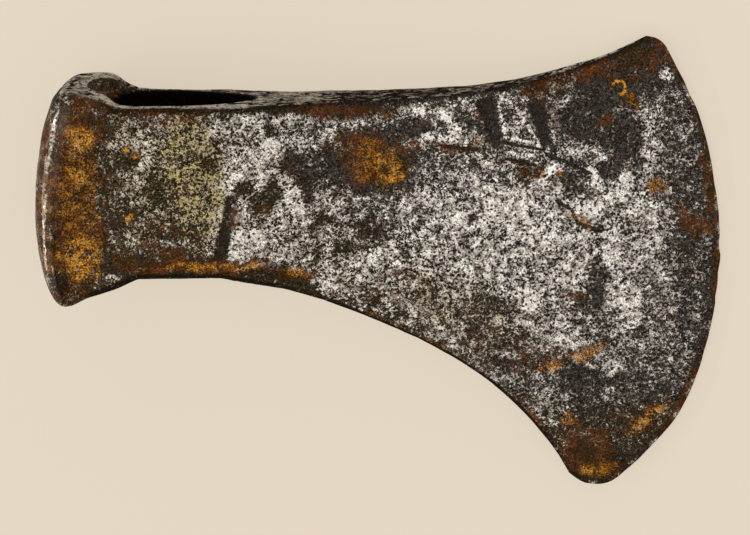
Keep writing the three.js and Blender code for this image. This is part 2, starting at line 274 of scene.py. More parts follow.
# Open ring: place, radius, width, the way it opens, the gap in radii, and its gold
RING_AT = (147.6, 28.9)
RING_RADIUS = 1.75
RING_WIDTH = 0.5
RING_OPENS = (-0.6, -0.8, 0.0)
RING_GAP = (0.55, 0.85)
RING_GOLD = 0.8

# Where a patch begins to fade and where it ends, in half sizes
PATCH_SOFTNESS = (0.55, 1.2)

# How the patches' edges wander: reach and grain of the broad and of the ragged part, and seeds of the axes
WANDER_REACH = 1.6
WANDER_GRAIN = 7
RAGGED_REACH = 1.1
RAGGED_GRAIN = 2.4
RAGGED_SEED_STEP = 5
WANDER_SEEDS = (11, 23, 37)
GOLD_WANDER = 0.5

# Clouds of the finish: grain in millimetres and seed
BROAD_CLOUDS = (34, 51)
PATCHY_CLOUDS = (17, 61)

# Masks with gaps: grain in millimetres, seed, where a gap ends and where the mask is full
BROWN_LINE_GAPS = (5, 95, -0.5, 0.1)
CREST_GAPS = (4.5, 94, -0.45, 0.1)
FOLD_GAPS = (3.6, 96, -0.35, 0.15)
POLISH_GAPS = (3.4, 91, -0.4, 0.3)
GLINT_GAPS = (2.6, 81, -0.25, 0.35)
PIT_FIELDS = (13, 7, -0.35, 0.5)
NICK_GAPS = (3.2, 73, 0.42, 0.75)
NICK_FIELDS = (19, 74, -0.1, 0.4)

# Which faces are the near cheek, the far cheek, the back of the poll and the underside, by their normals
NEAR_FACING = (0.15, 0.5)
CARVED_FACING = (0.4, 0.8)
FAR_FACING = (0.35, 0.75)
BACK_FACING = (0.4, 0.8)
UNDER_FACING = (0.2, 0.6)

# Rims of the near cheek, darkened with dirt and painted shade: the upper one in millimetres from the outline,
# the lower one in its own widths, its widths, where the rims start as a share of the length, and the blade
# and the heel in millimetres along
UPPER_RIM = (1.0, 2.8)
RIM_AT_EYE = 2.1
RIM_AT_BLADE = 1.15
LOWER_RIM = (0.6, 1.15)
RIM_START = (0.04, 0.1)
BLADE_START = (68, 84)
HEEL_START = (128, 135)
RIM_DULLING = 0.85

# Brown line inside the lower rim, in rim widths from the outline
BROWN_LINE_AT = 1.45
BROWN_LINE_WIDTH = 0.5
BROWN_LINE_START = (70, 80)
BROWN_LINE_DULLING = 0.4
BROWN_LINE_RUST = 0.78
BROWN_LINE_GOLD = 0.22

# Shares of the faces that aren't painted: base, weight of the clouds, weight of what lifts it, limits
FAR_BRIGHT = (0.16, 0.5, 0.36, 0.03, 0.7)
FAR_RUST = (0.62, 0.9, -0.5, 0.02, 0.9)
FAR_GOLD = (-0.35, 1.5, -0.3, 0.0, 0.7)
FAR_BLADE = ((0.2, 0.5), (0.86, 0.97))
LEDGE_BRIGHT = (0.45, 0.3, 1.0, 0.1, 0.8)
LEDGE_RUST = (0.22, 0.5, 0.0, 0.05, 0.6)

# Worn top of the eye's near wall and of the poll; the wall's top takes less painted shade
WALL_ACROSS = (0.5, 0.7)
WALL_ALONG = ((0.06, 0.09), (0.3, 0.36))
WALL_FACING = (0.3, 0.7)
WALL_BRIGHT = 0.28
WALL_LESS_SHADE = 0.8
POLL_TOP_END = (0.07, 0.11)
POLL_TOP_FACING = (0.2, 0.6)
POLL_TOP_BRIGHT = 0.1
BACK_DULLING = 0.55
BACK_RUST = 0.3
BACK_RUST_CLOUDS = 0.5
UNDER_DULLING = 0.35

# Worn streaks of the poll's lip, painted bright as its highlight: its crest, and a fold that leans across it
CREST_AT = 0.0145
CREST_WIDTH = 0.0045
CREST_SWAY = 0.003
CREST_SWAY_NOISE = (7, 93)
CREST_SPAN = ((0.03, 0.12), (0.88, 0.97))
CREST_LEAST = 0.5
CREST_BRIGHT = 1.1
FOLD_AT = 0.033
FOLD_LEAN = 0.018
FOLD_WIDTH = 0.0032
FOLD_SPAN = ((0.04, 0.1), (0.4, 0.6))
FOLD_BRIGHT = 0.66
POLISH_END = (0.026, 0.04)
POLISH_FACING = (0.3, 0.7)
POLISH_LEAST = 0.55

# Rust and glints along the cutting edge
EDGE_START = (0.982, 0.995)
EDGE_DULLING = 0.85
EDGE_RUST = 0.52
EDGE_RUST_CLOUDS = 0.4
GLINT_START = (0.991, 0.997)
GLINT_BRIGHT = 0.6

# Inside of the eye, and how far below its mouths the painted shade begins and is full
EYE_BRIGHT = 0.2
EYE_RUST = 0.2
EYE_RUST_CLOUDS = 0.4
EYE_REAR = (13, 21)
EYE_SHADE_RISE = (-0.3, 0.4)
REAR_SHADE_START = 1.0
REAR_SHADE_RISE = 3.0

# Where the scale is brownish: towards the poll, along a leaning border, and at the heel
WARM_LEAN = 0.8
WARM_BORDER = (52, 115)
WARM_HEEL = (48, 66)
WARM_HEEL_SHARE = 0.8
WARM_CLOUDS = 0.7

# Painted shade and dirt of the rounded rims
SHADE_START = (0.05, 0.1)
SHADE_TURN = (0.45, 0.97)
SHADE_UNDER = (0.12, 0.5)
UNDER_SHADE = 1.2
RIM_SHADE = 0.7
BLADE_RIM_SHADE = 0.5

# Flanks and ends of the strokes
FLANK = 0.35
FLANK_BY_WIDTH = 0.06
FLANK_OUTSIDE = 0.6
STROKE_END = (-1.2, 0.6)

# Relief: height, grain and seed of the hammer marks and of the poll's battering
HAMMER_MARKS = ((1.0, 15, 3), (0.45, 6.5, 4))
BATTERING = ((1.0, 8, 5), (0.5, 3.5, 6))
BATTERED_END = (0.03, 0.1)
BATTERED_SHARE = 0.8
THIN_EDGE = (1.0, 0.93)
THIN_HAMMER = 0.25
THIN_PITS = 0.3
EYE_CALM = 0.55

# Corrosion pits: grain, seed, reach in grains, depth share
PITS = ((2.4, 24, 0.52, 1.0), (5.5, 55, 0.42, 1.1), (1.5, 15, 0.5, 0.55))
PIT_FLOOR = 0.1
PIT_LEAST = 0.5
PIT_LEFT_OUT = 0.45

# Rust crust, the crease behind the lip, and one deep pit at the poll's foot
CRUST_NOISE = (2.6, 8, 2)
CRUST_HEIGHT = 0.16
CRUST_LIFT = 0.35
CREASE_AT = 0.044
CREASE_LEAN = 0.026
CREASE_WIDTH = 0.006
CREASE_SPAN = ((0.04, 0.12), (0.5, 0.68))
CREASE_DEPTH = 1.1
DEEP_PIT = (6.6, -22.4)
DEEP_PIT_RISE = (0.4, 1.7)
DEEP_PIT_DEPTH = 1.1

# Nicks of the cutting edge: height, grain and seed of its waver, and depth of the nicks
NICKED_EDGE = (0.975, 1.0)
EDGE_WAVER = ((0.18, 4.5, 71), (0.25, 11, 72))
WAVER_OUT = 0.1
NICK_DEPTH = 0.35

# Numbers that mix the bits of a noise cell, and the smallest length of a normal
AXIS_MIXERS = (374761393, 668265263, 2147483629)
SEED_MIXER = 40503
SEED_START = 977
BIT_MIXERS = ((13, 1274126177), (15, 2246822519))
LAST_SHIFT = 16
VALUE_BITS = 0xFFFFFF
TINY = 1e-12

# Names of the shares that the surface hands to its material
FINISHES = (
    "bright", "rust", "gold", "khaki", "shade", "hollow", "ledge", "near", "strokes", "warm", "polish",
)

# Layers of the specks: how many times coarser than the finest, weight, detail and distortion.
# The level that a speck stands over falls from the first value to the second as its cover rises.
SPECK_LAYERS = ((1.0, 0.72, 3.0, 0.8), (3.2, 0.18, 1.0, 0.5), (9.0, 0.10, 1.0, 0.6))
SPECK_ROUGHNESS = 0.7
SPECK_LEVELS = (0.63, 0.37)

# Grain of the colours: size, detail and roughness, and the span that most values of a noise lie in
FINE_GRAIN = (0.42 * MM, 2.0, 0.7)
MIDDLING_GRAIN = (2.2 * MM, 3.0, 0.65)
BROAD_GRAIN = (8 * MM, 2.0, 0.6)
NOISE_SPAN = (0.3, 0.7)

# Specks of bare metal, drawn out along the ledges. The grain of rust and flecks is in such specks.
SPECK_SOFTNESS = 0.016
LEDGE_STREAKS = (0.22, 1, 0.3)
STREAK_SOFTNESS = 0.05
CRUST_GRAIN = 1.3
CRUST_SOFTNESS = 0.045
FLECK_COVER = 0.42
FLECK_GRAIN = 0.7
FLECK_SOFTNESS = 0.03
FLECK_FADE = (0.40, 0.56)
FLECK_SHARES = (0.75, 0.15)

# Small dark dots: spacing, soft edge, which of them are there, and what they do to metal and ground
DOT_SPACING = 1.3 * MM
DOT_EDGE = (0.2, 0.34)
DOT_PRESENT = (0.3, 0.4)
DOT_CLEARS = 0.9
DOT_DARKENS = 0.6

# Drawn lines: how their outline shakes, where their soft edge lies in half widths, and what they change
LINE_SHAKE = 1.1 * MM
LINE_SHAKE_GRAIN = 1.6 * MM
LINE_EDGE = (0.6, 1.25)
LINE_BRIGHT = 0.22
LINE_DULLING = 0.42
LINE_DARK = 0.48
LINE_FACING = 0.3
BRIGHT_LINE_GRAIN = 1.8 * MM
BRIGHT_LINE_GAPS = (0.4, 0.56)

# Bare metal: how its lustre varies, and the khaki film over it
LUSTRE_SWING = (-0.4, 0.4)
LUSTRE_RISE = (0.15, 0.85)
FILM_GAPS = (0.36, 0.62)
FILM_LEAST = 0.35
WARM_FILM = 0.08
BARE_ON_RUST = 0.3
BARE_ON_LEDGE = 0.7

# Rust: how unevenly it ripens, less so where there is little gold, and where it turns red, orange and gold
FINE_RIPENING = (-0.6, 0.6)
MIDDLING_RIPENING = (-0.8, 0.8)
RIPENING_BY_GOLD = (0.0, 0.6, 0.3, 1.0)
RED_CLOUDS = (0.42, 0.6)
ORANGE_RISE = (0.05, 0.5)
GOLD_RISE = (0.5, 1.1)

# How dark the rims' dirt and painted shade and the eye's painted shade become, and how much the fine grain
# darkens and lightens ground and metal
RIM_DARK = 0.75
EYE_DARK = 0.97
GROUND_GRIT = (0.2, 1.7)
BARE_GRIT = (0.42, 1.5)

# Metallic and roughness of the ground, the rust, the bare metal and the eye
METALLIC = (0.15, 0.0, 0.85, 1.0)
ROUGHNESS = (0.5, 0.75, 0.36, 0.9)
LEDGE_DULL = (0.0, 0.6)
COAT_ROUGHNESS = 0.17
COAT_GAPS = (0.35, 0.65)
COAT_SHARES = (0.35, 0.8)

# Bump: share of the specks, of the fine grain and of the rust, strength and height
BUMP_SPECKS = 0.5
BUMP_GRAIN = 0.5
BUMP_CRUST = 0.4
BUMP_STRENGTH = 0.5
BUMP_HEIGHT = 0.14 * MM

# Camera: where it aims, its lean from straight down along X and Y, distance and picture scale
AIM = Vector((-0.00012, -0.00087, 0.015))
LEAN_X = radians(9)
LEAN_Y = radians(13)
CAMERA_DISTANCE = 0.8
PIXELS_PER_METRE = 3870.4
PICTURE_WIDTH = 750
SENSOR_WIDTH = 36.0
CLIP_START = 0.01

# Soft lights: name, place, width, depth, brightness and colour, in metres
LIGHTS = (
    ("overhead", (0.10, -0.12, 1.3), 2.2, 2.0, 1.15, (1.0, 0.98, 0.95)),
    ("poll_side", (-1.0, -0.2, 0.45), 0.9, 0.06, 28.0, (1.0, 0.98, 0.95)),
    ("top_side", (0.0, 1.2, 0.7), 1.4, 0.5, 1.5, (1.0, 0.98, 0.95)),
)
SURROUNDINGS = (0.40, 0.385, 0.36, 1.0)

# Floor
FLOOR_GLOW = 3.78
FLOOR_REACH = 6.0
FLOOR_GRAIN = 30 * MM
FLOOR_MOTTLE = (0.995, 1.0)
FLOOR_ROUGHNESS = 0.95
FLOOR_IOR = 1.2


def size_property(name, text, value):
    """A length of the head, in metres."""
    return FloatProperty(name=name, description=text, default=value * MM, unit="LENGTH", precision=5)


def colour_property(name, text, value):
    """A linear colour of the finish."""
    return FloatVectorProperty(
        name=name, description=text, default=value, subtype="COLOR", size=3, min=0, max=1
    )


class AxeSizes(bpy.types.PropertyGroup):
    """Sizes of the forged head that a user would change"""

    eye_half: size_property("Eye half thickness", "Half the thickness of the eye block", 15.5)
    wedge_half: size_property("Wedge half thickness", "What the blade's taper would reach at the poll", 15.0)
    edge_half: size_property("Edge half thickness", "Half the thickness of the blunted cutting edge", 0.5)
    wedge_power: FloatProperty(
        name="Wedge power", description="Below 1 swells the faces towards the cutting edge", default=0.75
    )
    lip: size_property("Poll lip", "How far the battered lip stands over the cheeks", 1.6)
    eye_half_length: size_property("Eye half length", "Half the length of the eye at its waist", 18.6)
    eye_half_width: size_property("Eye half width", "Half the width of the eye at its waist", 9.8)
    eye_rim: size_property("Eye rim", "Radius of the worn rim of the eye", 1.2)
    stroke_depth: size_property("Stroke depth", "Depth of the strokes on the near cheek", 0.5)
    hammer_depth: size_property("Hammer depth", "Height of the hammered unevenness", 0.26)
    pit_depth: size_property("Pit depth", "Depth of the corrosion pits", 0.26)
    speck: size_property("Speck size", "Size of the bright worn specks", 0.68)


class AxeColours(bpy.types.PropertyGroup):
    """Colours of the worn and rusted iron and of the floor"""

    bright: colour_property("Bright iron", "Metal worn bright", (0.71, 0.67, 0.62))
    grey: colour_property("Grey iron", "Dulled bright metal", (0.25, 0.22, 0.185))
    khaki: colour_property("Khaki film", "Thin film that tints the bright metal", (0.36, 0.285, 0.125))
    scale: colour_property("Forge scale", "Charcoal scale of the pitted ground", (0.0165, 0.0145, 0.0125))
    fleck: colour_property("Grey flecks", "Fine grey flecks of the scale", (0.085, 0.074, 0.063))
    warm_fleck: colour_property("Brown flecks", "Fine flecks of the brownish scale", (0.058, 0.044, 0.025))
    soot: colour_property("Brown scale", "Brownish black scale", (0.0195, 0.0145, 0.0075))
    # Rim colour: dirt and painted shade of the rounded rims
    shadow: colour_property("Rim", "Dirt and painted shade of the rounded rims", (0.009, 0.0065, 0.004))
    # Eye colour: painted shade deep inside the eye, also used for the dark dots
    hollow: colour_property("Eye", "Painted shade deep inside the eye", (0.0038, 0.0032, 0.0025))
    brown: colour_property("Brown rust", "Dark brown rust", (0.040, 0.019, 0.0045))
    red: colour_property("Red rust", "Red-brown rust", (0.090, 0.030, 0.010))
    orange: colour_property("Orange rust", "Orange rust", (0.20, 0.080, 0.011))
    gold: colour_property("Gold rust", "Golden bloom of the rust", (0.45, 0.212, 0.03))
    floor: colour_property("Floor", "Pale floor", (0.16, 0.14, 0.1135))


def smooth(value, low, high):
    """0 below low and 1 above high, with an S-shaped rise between them."""
    share = np.clip((value - low) / (high - low), 0, 1)
    return share * share * (3 - 2 * share)


def between(value, rise, fall):
    """0 before the rise, 1 from there to the fall and 0 beyond it, with S-shaped flanks."""
    return smooth(value, *rise) * (1 - smooth(value, *fall))


def ridge(value, middle, width):
    """1 at the middle, falling away on both sides as a bell curve of that width."""
    return np.exp(-(((value - middle) / width) ** 2))


def spline(points, share):
    """Points at shares of the length of a uniform Catmull-Rom curve whose end points are doubled."""
    control = np.array(points, float)
    last = len(control) - 1
    place = np.linspace(0, last, SPLINE_STEPS * last + 1)
    start = np.minimum(place.astype(int), last - 1)
    t = (place - start)[:, None]
    before = control[np.maximum(start - 1, 0)]
    here = control[start]
    there = control[start + 1]
    after = control[np.minimum(start + 2, last)]
    leave = (there - before) / 2
    arrive = (after - here) / 2
    path = (2 * here - 2 * there + leave + arrive) * t**3
    path += (3 * there - 3 * here - 2 * leave - arrive) * t**2 + leave * t + here
    run = np.concatenate([[0], np.cumsum(np.hypot(*np.diff(path, axis=0).T))])
    run /= run[-1]
    return np.stack([np.interp(share, run, path[:, axis]) for axis in (0, 1)], -1)


def lower_edge(u):
    """The lower outline, held down to the flat seat under the eye."""
    point = spline(LOWER_EDGE, u)
    held = np.where(point[..., 0] < SEAT_END, EYE_SEAT, np.inf)
    point[..., 1] = np.minimum(point[..., 1], held)
    return point


def side_height(u):
    """Distance in the side view from the lower edge to the upper one, at the same share of both."""
    return np.linalg.norm(spline(UPPER_EDGE, u) - lower_edge(u), axis=-1)


def bend(points, share):
    """How far a curve bends away, at a share of its length, from the straight line between its ends."""
    straight = np.multiply.outer(1 - share, points[0]) + np.multiply.outer(share, points[-1])
    return spline(points, share) - straight


def side_point(u, v):
    """Side view: lower and upper edge blended across v, plus the bends of the poll and of the cutting edge.

    Near the lower edge the cutting edge's bend is carried in less far, so that the patch stays inside the
    outline.
    """
    carried = u ** (1 + HEEL_HOLD * (1 - v) ** HEEL_HOLD_POWER)
    upward = v[..., None]
    across = (1 - upward) * lower_edge(u) + upward * spline(UPPER_EDGE, u)
    return across + (1 - u)[..., None] * bend(POLL_BACK, v) + carried[..., None] * bend(CUTTING_EDGE, v)


def half_thickness(u, v, size):
    """Half thickness: level at the eye, then a swelling wedge, with the battered lip at the poll."""
    wedge = size.edge_half / MM + size.wedge_half / MM * np.maximum(1 - u, 0) ** size.wedge_power
    block = size.eye_half / MM
    lip = size.lip / MM * (1 - smooth(u, *LIP_END)) * (1 - smooth(v, *LIP_FADE))
    return block + (wedge - block) * smooth(u, *SHOULDER) + lip


def body_point(u, v, w, size):
    """A point of the unit box (u, v from 0 to 1, w from -1 to 1) carried to the forged body.

    Near two or three faces of the box, the depths under them are drawn in so that the corner follows
    a radius. The poll is crowned, and the upper lug is lowered on the near cheek.
    """
    thick = half_thickness(u, v, size)
    height = side_height(u)
    wanted = POLL_RADIUS + (EDGE_RADIUS - POLL_RADIUS) * smooth(u, 0, POLL_ROUND_END)
    radius = np.minimum(wanted, THIN_RADIUS * thick)[..., None]
    depth = np.stack([u * RUN, np.minimum(v, 1 - v) * height, (1 - np.abs(w)) * thick], -1)
    share = np.clip(1 - depth / radius, 0, 1)
    norm = np.maximum(np.linalg.norm(share, axis=-1, keepdims=True), 1)
    depth = np.where(share > 0, radius * (1 - share / norm), depth)
    round_u = depth[..., 0] / RUN
    round_v = np.where(v < 0.5, depth[..., 1] / height, 1 - depth[..., 1] / height)
    round_w = np.sign(w) * (1 - depth[..., 2] / thick)
    side = side_point(round_u, round_v)
    lug = NEAR_LUG_DROP * ridge(round_u, NEAR_LUG_AT, NEAR_LUG_WIDTH)
    lowered = lug * round_v**NEAR_LUG_POWER * (1 + round_w) / 2
    crown = POLL_CROWN * (1 - smooth(round_u, 0, POLL_ROUND_END)) * (1 - round_w**2)
    across = round_w * half_thickness(round_u, round_v, size)
    return np.stack([side[..., 0] - crown, side[..., 1] - lowered, across], -1)


def eye_oval(angle, level, size):
    """Along and across of the eye's wall: an oval with a narrower front, belled and rounded at the mouths.

    Level runs from 1 at the upper mouth to -1 at the lower one.
    """
    front = np.cos(angle)
    reach = np.abs(level)
    bell = 1 + EYE_BELL * reach**EYE_BELL_POWER * (1 - FRONT_TRIM * np.maximum(front, 0))
    turned = np.clip((reach - MOUTH_RIM_START) / (1 - MOUTH_RIM_START), 0, 1)
    rim = size.eye_rim / MM * (1 - np.sqrt(1 - turned**2))
    funnel = REAR_FUNNEL * smooth(level, *FUNNEL_RISE) * np.maximum(-front, 0)
    along = EYE_MIDDLE + (size.eye_half_length / MM * bell + rim) * front - funnel
    across = (size.eye_half_width / MM * bell + rim) * np.sin(angle) * (1 - EYE_FRONT_TAPER * front)
    return along, across


def spread(rows, crowding):
    """Shares from 0 to 1 that crowd towards both ends."""
    t = np.linspace(0, 1, rows + 1)
    return t - crowding * np.sin(2 * np.pi * t) / (2 * np.pi)


def quads(keys, turned):
    """Four-sided faces of a grid of vertex keys, wound the other way round where turned."""
    corners = (keys[:-1, :-1], keys[1:, :-1], keys[1:, 1:], keys[:-1, 1:])
    order = corners[::-1] if turned else corners
    return np.stack(order, -1)


def around_mouth(u, w, top, size):
    """Grid shares of a ledge, drawn to the eye's mouth.

    A block of the grid round the middle of the mouth has its border carried to the oval, along rays
    from the middle. Between the block and the edge of the ledge the move fades out.
    """
    middle = sum(MOUTH_U) / 2
    half_u = (MOUTH_U[1] - MOUTH_U[0]) / 2
    half_w = w[-1 - MOUTH_MARGIN]
    grid_u, grid_w = np.meshgrid(u, w, indexing="ij")
    ray_u = (grid_u - middle) / half_u
    ray_w = grid_w / half_w
    angle = np.arctan2(ray_w, ray_u)
    along, across = eye_oval(angle, 1.0 if top else -1.0, size)
    fine = np.linspace(0, 1, SPLINE_STEPS)
    rim = spline(UPPER_EDGE, fine) if top else lower_edge(fine)
    oval_u = np.interp(along, rim[:, 0], fine)
    oval_w = across / half_thickness(oval_u, np.full_like(oval_u, float(top)), size)
    reach = np.maximum(np.abs(ray_u), np.abs(ray_w))
    kept = np.clip((reach - 1) / (1 / half_w - 1), 0, 1)
    return oval_u + (grid_u - oval_u) * kept, oval_w + (grid_w - oval_w) * kept, angle


def forged_surface(size):
    """The closed surface of the head: points, box shares, whether inside the eye, and four-sided faces.

    Six grids cover the faces of the unit box, and share the keys of their common rows, so the seams are
    closed. The two ledges leave out a block, whose border is the mouth of the eye, and a seventh grid
    runs down the eye from the upper mouth to the lower one.
    """
    u = spread(LENGTH_ROWS, LENGTH_CROWDING)
    v = spread(HEIGHT_ROWS, HEIGHT_CROWDING)
    w = 2 * spread(ACROSS_ROWS, ACROSS_CROWDING) - 1
    first, last = np.searchsorted(u, MOUTH_U)
    u[first], u[last] = MOUTH_U
    low, high = MOUTH_MARGIN, ACROSS_ROWS - MOUTH_MARGIN
    stations, levels, layers = np.arange(len(u)), np.arange(len(v)), np.arange(len(w))

    def key(i, j, k):
        return (i * len(v) + j) * len(w) + k

    keys, points, shares, faces = [], [], [], []

    def lay(grid_keys, grid_u, grid_v, grid_w):
        place = body_point(grid_u, grid_v, grid_w, size)
        keys.append(grid_keys.ravel())
        points.append(place.reshape(-1, 3))
        shares.append(np.stack([grid_u, grid_v, grid_w, np.zeros_like(grid_u)], -1).reshape(-1, 4))
        return place

    for k in (0, ACROSS_ROWS):
        i, j = np.meshgrid(stations, levels, indexing="ij")
        grid = key(i, j, k)
        lay(grid, u[i], v[j], np.full(i.shape, w[k]))
        faces.append(quads(grid, turned=k == 0).reshape(-1, 4))
    for i in (0, LENGTH_ROWS):
        j, k = np.meshgrid(levels, layers, indexing="ij")
        grid = key(i, j, k)
        lay(grid, np.full(j.shape, u[i]), v[j], w[k])
        faces.append(quads(grid, turned=i == 0).reshape(-1, 4))

    mouths = {}
    for j in (0, HEIGHT_ROWS):
        i, k = np.meshgrid(stations, layers, indexing="ij")
        grid = key(i, j, k)
        ledge_u, ledge_w, angle = around_mouth(u, w, j > 0, size)
        place = lay(grid, ledge_u, np.full(i.shape, v[j]), ledge_w)
        kept = np.ones((LENGTH_ROWS, ACROSS_ROWS), bool)
        kept[first:last, low:high] = False
        faces.append(quads(grid, turned=j > 0)[kept])
        ring_i = np.concatenate([
            np.full(high - low, last), np.arange(last, first, -1),
            np.full(high - low, first), np.arange(first, last),
        ])
        ring_k = np.concatenate([
            np.arange(low, high), np.full(last - first, high),
            np.arange(high, low, -1), np.full(last - first, low),
        ])
        mouths[j] = grid[ring_i, ring_k], place[ring_i, ring_k, 1], angle[ring_i, ring_k]

    lower_keys, lower_rim, angle = mouths[0]
    upper_keys, upper_rim, _ = mouths[HEIGHT_ROWS]
    level = 1 - 2 * spread(EYE_ROWS, EYE_CROWDING)[:, None]
    along, across = eye_oval(angle, level, size)
    height = (upper_rim + lower_rim) / 2 + (upper_rim - lower_rim) / 2 * level
    rows = key(len(u), 0, 0) + np.arange(level.size * angle.size).reshape(level.size, angle.size)
    rows[0], rows[-1] = upper_keys, lower_keys
    inner = rows[1:-1].ravel()
    keys.append(inner)
    points.append(np.stack([along, height, across], -1)[1:-1].reshape(-1, 3))
    shares.append(np.tile(EYE_WALL_SHARES, (inner.size, 1)))
    wrapped = np.concatenate([rows, rows[:, :1]], 1)
    faces.append(quads(wrapped, turned=False).reshape(-1, 4))

    keys, points, shares, faces = (np.concatenate(part) for part in (keys, points, shares, faces))
    used = np.unique(faces)
    known, at = np.unique(keys, return_index=True)
    picked = at[np.searchsorted(known, used)]
    return points[picked], shares[picked], np.searchsorted(used, faces)


def vertex_normals(points, faces):
    """Unit normals at the points: the sum of the cross products of each face's diagonals."""
    flat = np.cross(points[faces[:, 2]] - points[faces[:, 0]], points[faces[:, 3]] - points[faces[:, 1]])
    total = np.zeros_like(points)
    for corner in range(4):
        np.add.at(total, faces[:, corner], flat)
    return total / np.maximum(np.linalg.norm(total, axis=1, keepdims=True), TINY)


def lattice_value(cell, seed):
    """A fixed number from 0 to 1 for each whole-number cell, by mixing its bits."""
    part = cell.astype(np.int64).astype(np.uint32)
    mixed = sum(part[..., axis] * np.uint32(mixer) for axis, mixer in enumerate(AXIS_MIXERS))
    mixed += np.uint32(seed * SEED_MIXER + SEED_START)
    for shift, mixer in BIT_MIXERS:
        mixed = (mixed ^ (mixed >> np.uint32(shift))) * np.uint32(mixer)
    mixed ^= mixed >> np.uint32(LAST_SHIFT)
    return (mixed & np.uint32(VALUE_BITS)) / float(VALUE_BITS)


def noise(points, grain, seed):
    """Smooth noise from -1 to 1: lattice values a grain apart, blended by a quintic fade."""
    place = points / grain
    cell = np.floor(place)
    t = place - cell
    fade = t**3 * (t * (6 * t - 15) + 10)
    total = np.zeros(len(points))
    for corner in np.ndindex(2, 2, 2):
        weight = np.where(corner, fade, 1 - fade).prod(-1)
        total += weight * lattice_value(cell + corner, seed)
    return 2 * total - 1


def layered_noise(points, grain, seed, layers=3):
    """Noise whose layers halve in grain and in height."""
    parts = [noise(points, grain / 2**n, seed + n) / 2**n for n in range(layers)]
    return sum(parts) / sum(1 / 2**n for n in range(layers))


def noise_sum(points, layers):
    """Layers of noise added up, each given by its height, grain and seed."""
    return sum(height * noise(points, grain, seed) for height, grain, seed in layers)


def broken(points, grain, seed, low, high):
    """A mask with gaps: noise of that grain, 0 below low and 1 above high."""
    return smooth(noise(points, grain, seed), low, high)


def scattered(points, grain, seed):
    """Distance in grains to the nearest of points scattered one to a cell, and that point's own number."""
    place = points / grain
    cell = np.floor(place)
    best = np.full(len(points), np.inf)
    number = np.zeros(len(points))
    for step in np.ndindex(3, 3, 3):
        near = cell + np.array(step) - 1
        jitter = np.stack([lattice_value(near, seed + axis) for axis in range(3)], -1)
        gap = np.linalg.norm(near + jitter - place, axis=1)
        closer = gap < best
        best = np.where(closer, gap, best)
        number = np.where(closer, lattice_value(near, seed + 3), number)
    return best, number


def turned_offset(points, along, up, turn):
    """Offsets from a place of the side view, along and across an axis turned by that many degrees."""
    angle = radians(turn)
    dx = points[:, 0] - along
    dy = points[:, 1] - up
    return dx * np.cos(angle) + dy * np.sin(angle), dy * np.cos(angle) - dx * np.sin(angle)


def painted(points, base, patches, wander):
    """A share painted over the side view: soft ellipses laid one over the other, with wandering edges."""
    share = np.full(len(points), base, float)
    moved = points + wander
    for along, up, half_length, half_height, turn, value in patches:
        dx, dy = turned_offset(moved, along, up, turn)
        reach = np.hypot(dx / half_length, dy / half_height)
        share += (value - share) * (1 - smooth(reach, *PATCH_SOFTNESS))
    return share


def lower_gap(points):
    """How far each point stands in from the lower outline, square to it, in millimetres."""
    along, up = lower_edge(np.linspace(0, 1, SPLINE_STEPS)).T
    slope = np.gradient(up, along)
    height = points[:, 1] - np.interp(points[:, 0], along, up)
    return height / np.hypot(1, np.interp(points[:, 0], along, slope))


def wandering(points):
    """Offsets in millimetres that make the patches' edges wander: broad and ragged noise for each axis."""
    offsets = []
    for seed in WANDER_SEEDS:
        broad = WANDER_REACH * layered_noise(points, WANDER_GRAIN, seed)
        ragged = RAGGED_REACH * noise(points, RAGGED_GRAIN, seed + RAGGED_SEED_STEP)
        offsets.append(broad + ragged)
    return np.stack(offsets, -1)


def rim_shares(points, shares):
    """How far each point is on a rim of the near cheek that takes painted shade, on the blade's lower rim and
    on its brown line.

    The rims are measured in from the outlines. The lower one narrows from the eye to the blade, and ends
    before the heel.
    """
    u, v, _, _ = shares.T
    along = points[:, 0]
    on_blade = smooth(along, *BLADE_START)
    before_heel = 1 - smooth(along, *HEEL_START)
    height = side_height(u)
    upper = 1 - smooth((1 - v) * height, *UPPER_RIM)
    inward = lower_gap(points) / (RIM_AT_EYE + (RIM_AT_BLADE - RIM_AT_EYE) * on_blade)
    lower = (1 - smooth(inward, *LOWER_RIM)) * before_heel
    rim = np.maximum(upper, lower) * smooth(u, *RIM_START)
    brown_line = ridge(inward, BROWN_LINE_AT, BROWN_LINE_WIDTH) * broken(points, *BROWN_LINE_GAPS)
    brown_line *= before_heel * smooth(along, *BROWN_LINE_START)
    return rim, lower * on_blade, brown_line


def near_finish(points, rim, blade_rim, brown_line):
    """Bright, rusted, golden and khaki shares of the near cheek: its patches, dulled along the rims where
    painted shade falls.
    """
    wander = wandering(points)
    bright = painted(points, BRIGHT_BASE, BRIGHT_PATCHES, wander) * (1 - RIM_DULLING * rim)
    bright *= (1 - blade_rim) * (1 - BROWN_LINE_DULLING * brown_line)
    rust = np.maximum(painted(points, RUST_BASE, RUST_PATCHES, wander), BROWN_LINE_RUST * brown_line)
    gold = painted(points, 0.0, GOLD_PATCHES, GOLD_WANDER * wander) + BROWN_LINE_GOLD * brown_line
    khaki = painted(points, 0.0, KHAKI_PATCHES, wander)
    return bright, rust, gold, khaki


def clouded(recipe, clouds, lift):
    """A share that isn't painted: its base plus weighted clouds and lift, kept within its limits."""
    base, cloud_weight, lift_weight, low, high = recipe
    return np.clip(base + cloud_weight * clouds + lift_weight * lift, low, high)


def far_finish(u, broad, patchy):
    """Bright, rusted and golden shares of the far cheek: its blade is brighter and less rusted."""
    blade = between(u, *FAR_BLADE)
    bright = clouded(FAR_BRIGHT, broad, blade)
    rust = clouded(FAR_RUST, patchy, blade)
    gold = clouded(FAR_GOLD, patchy, blade)
    return bright, rust, gold


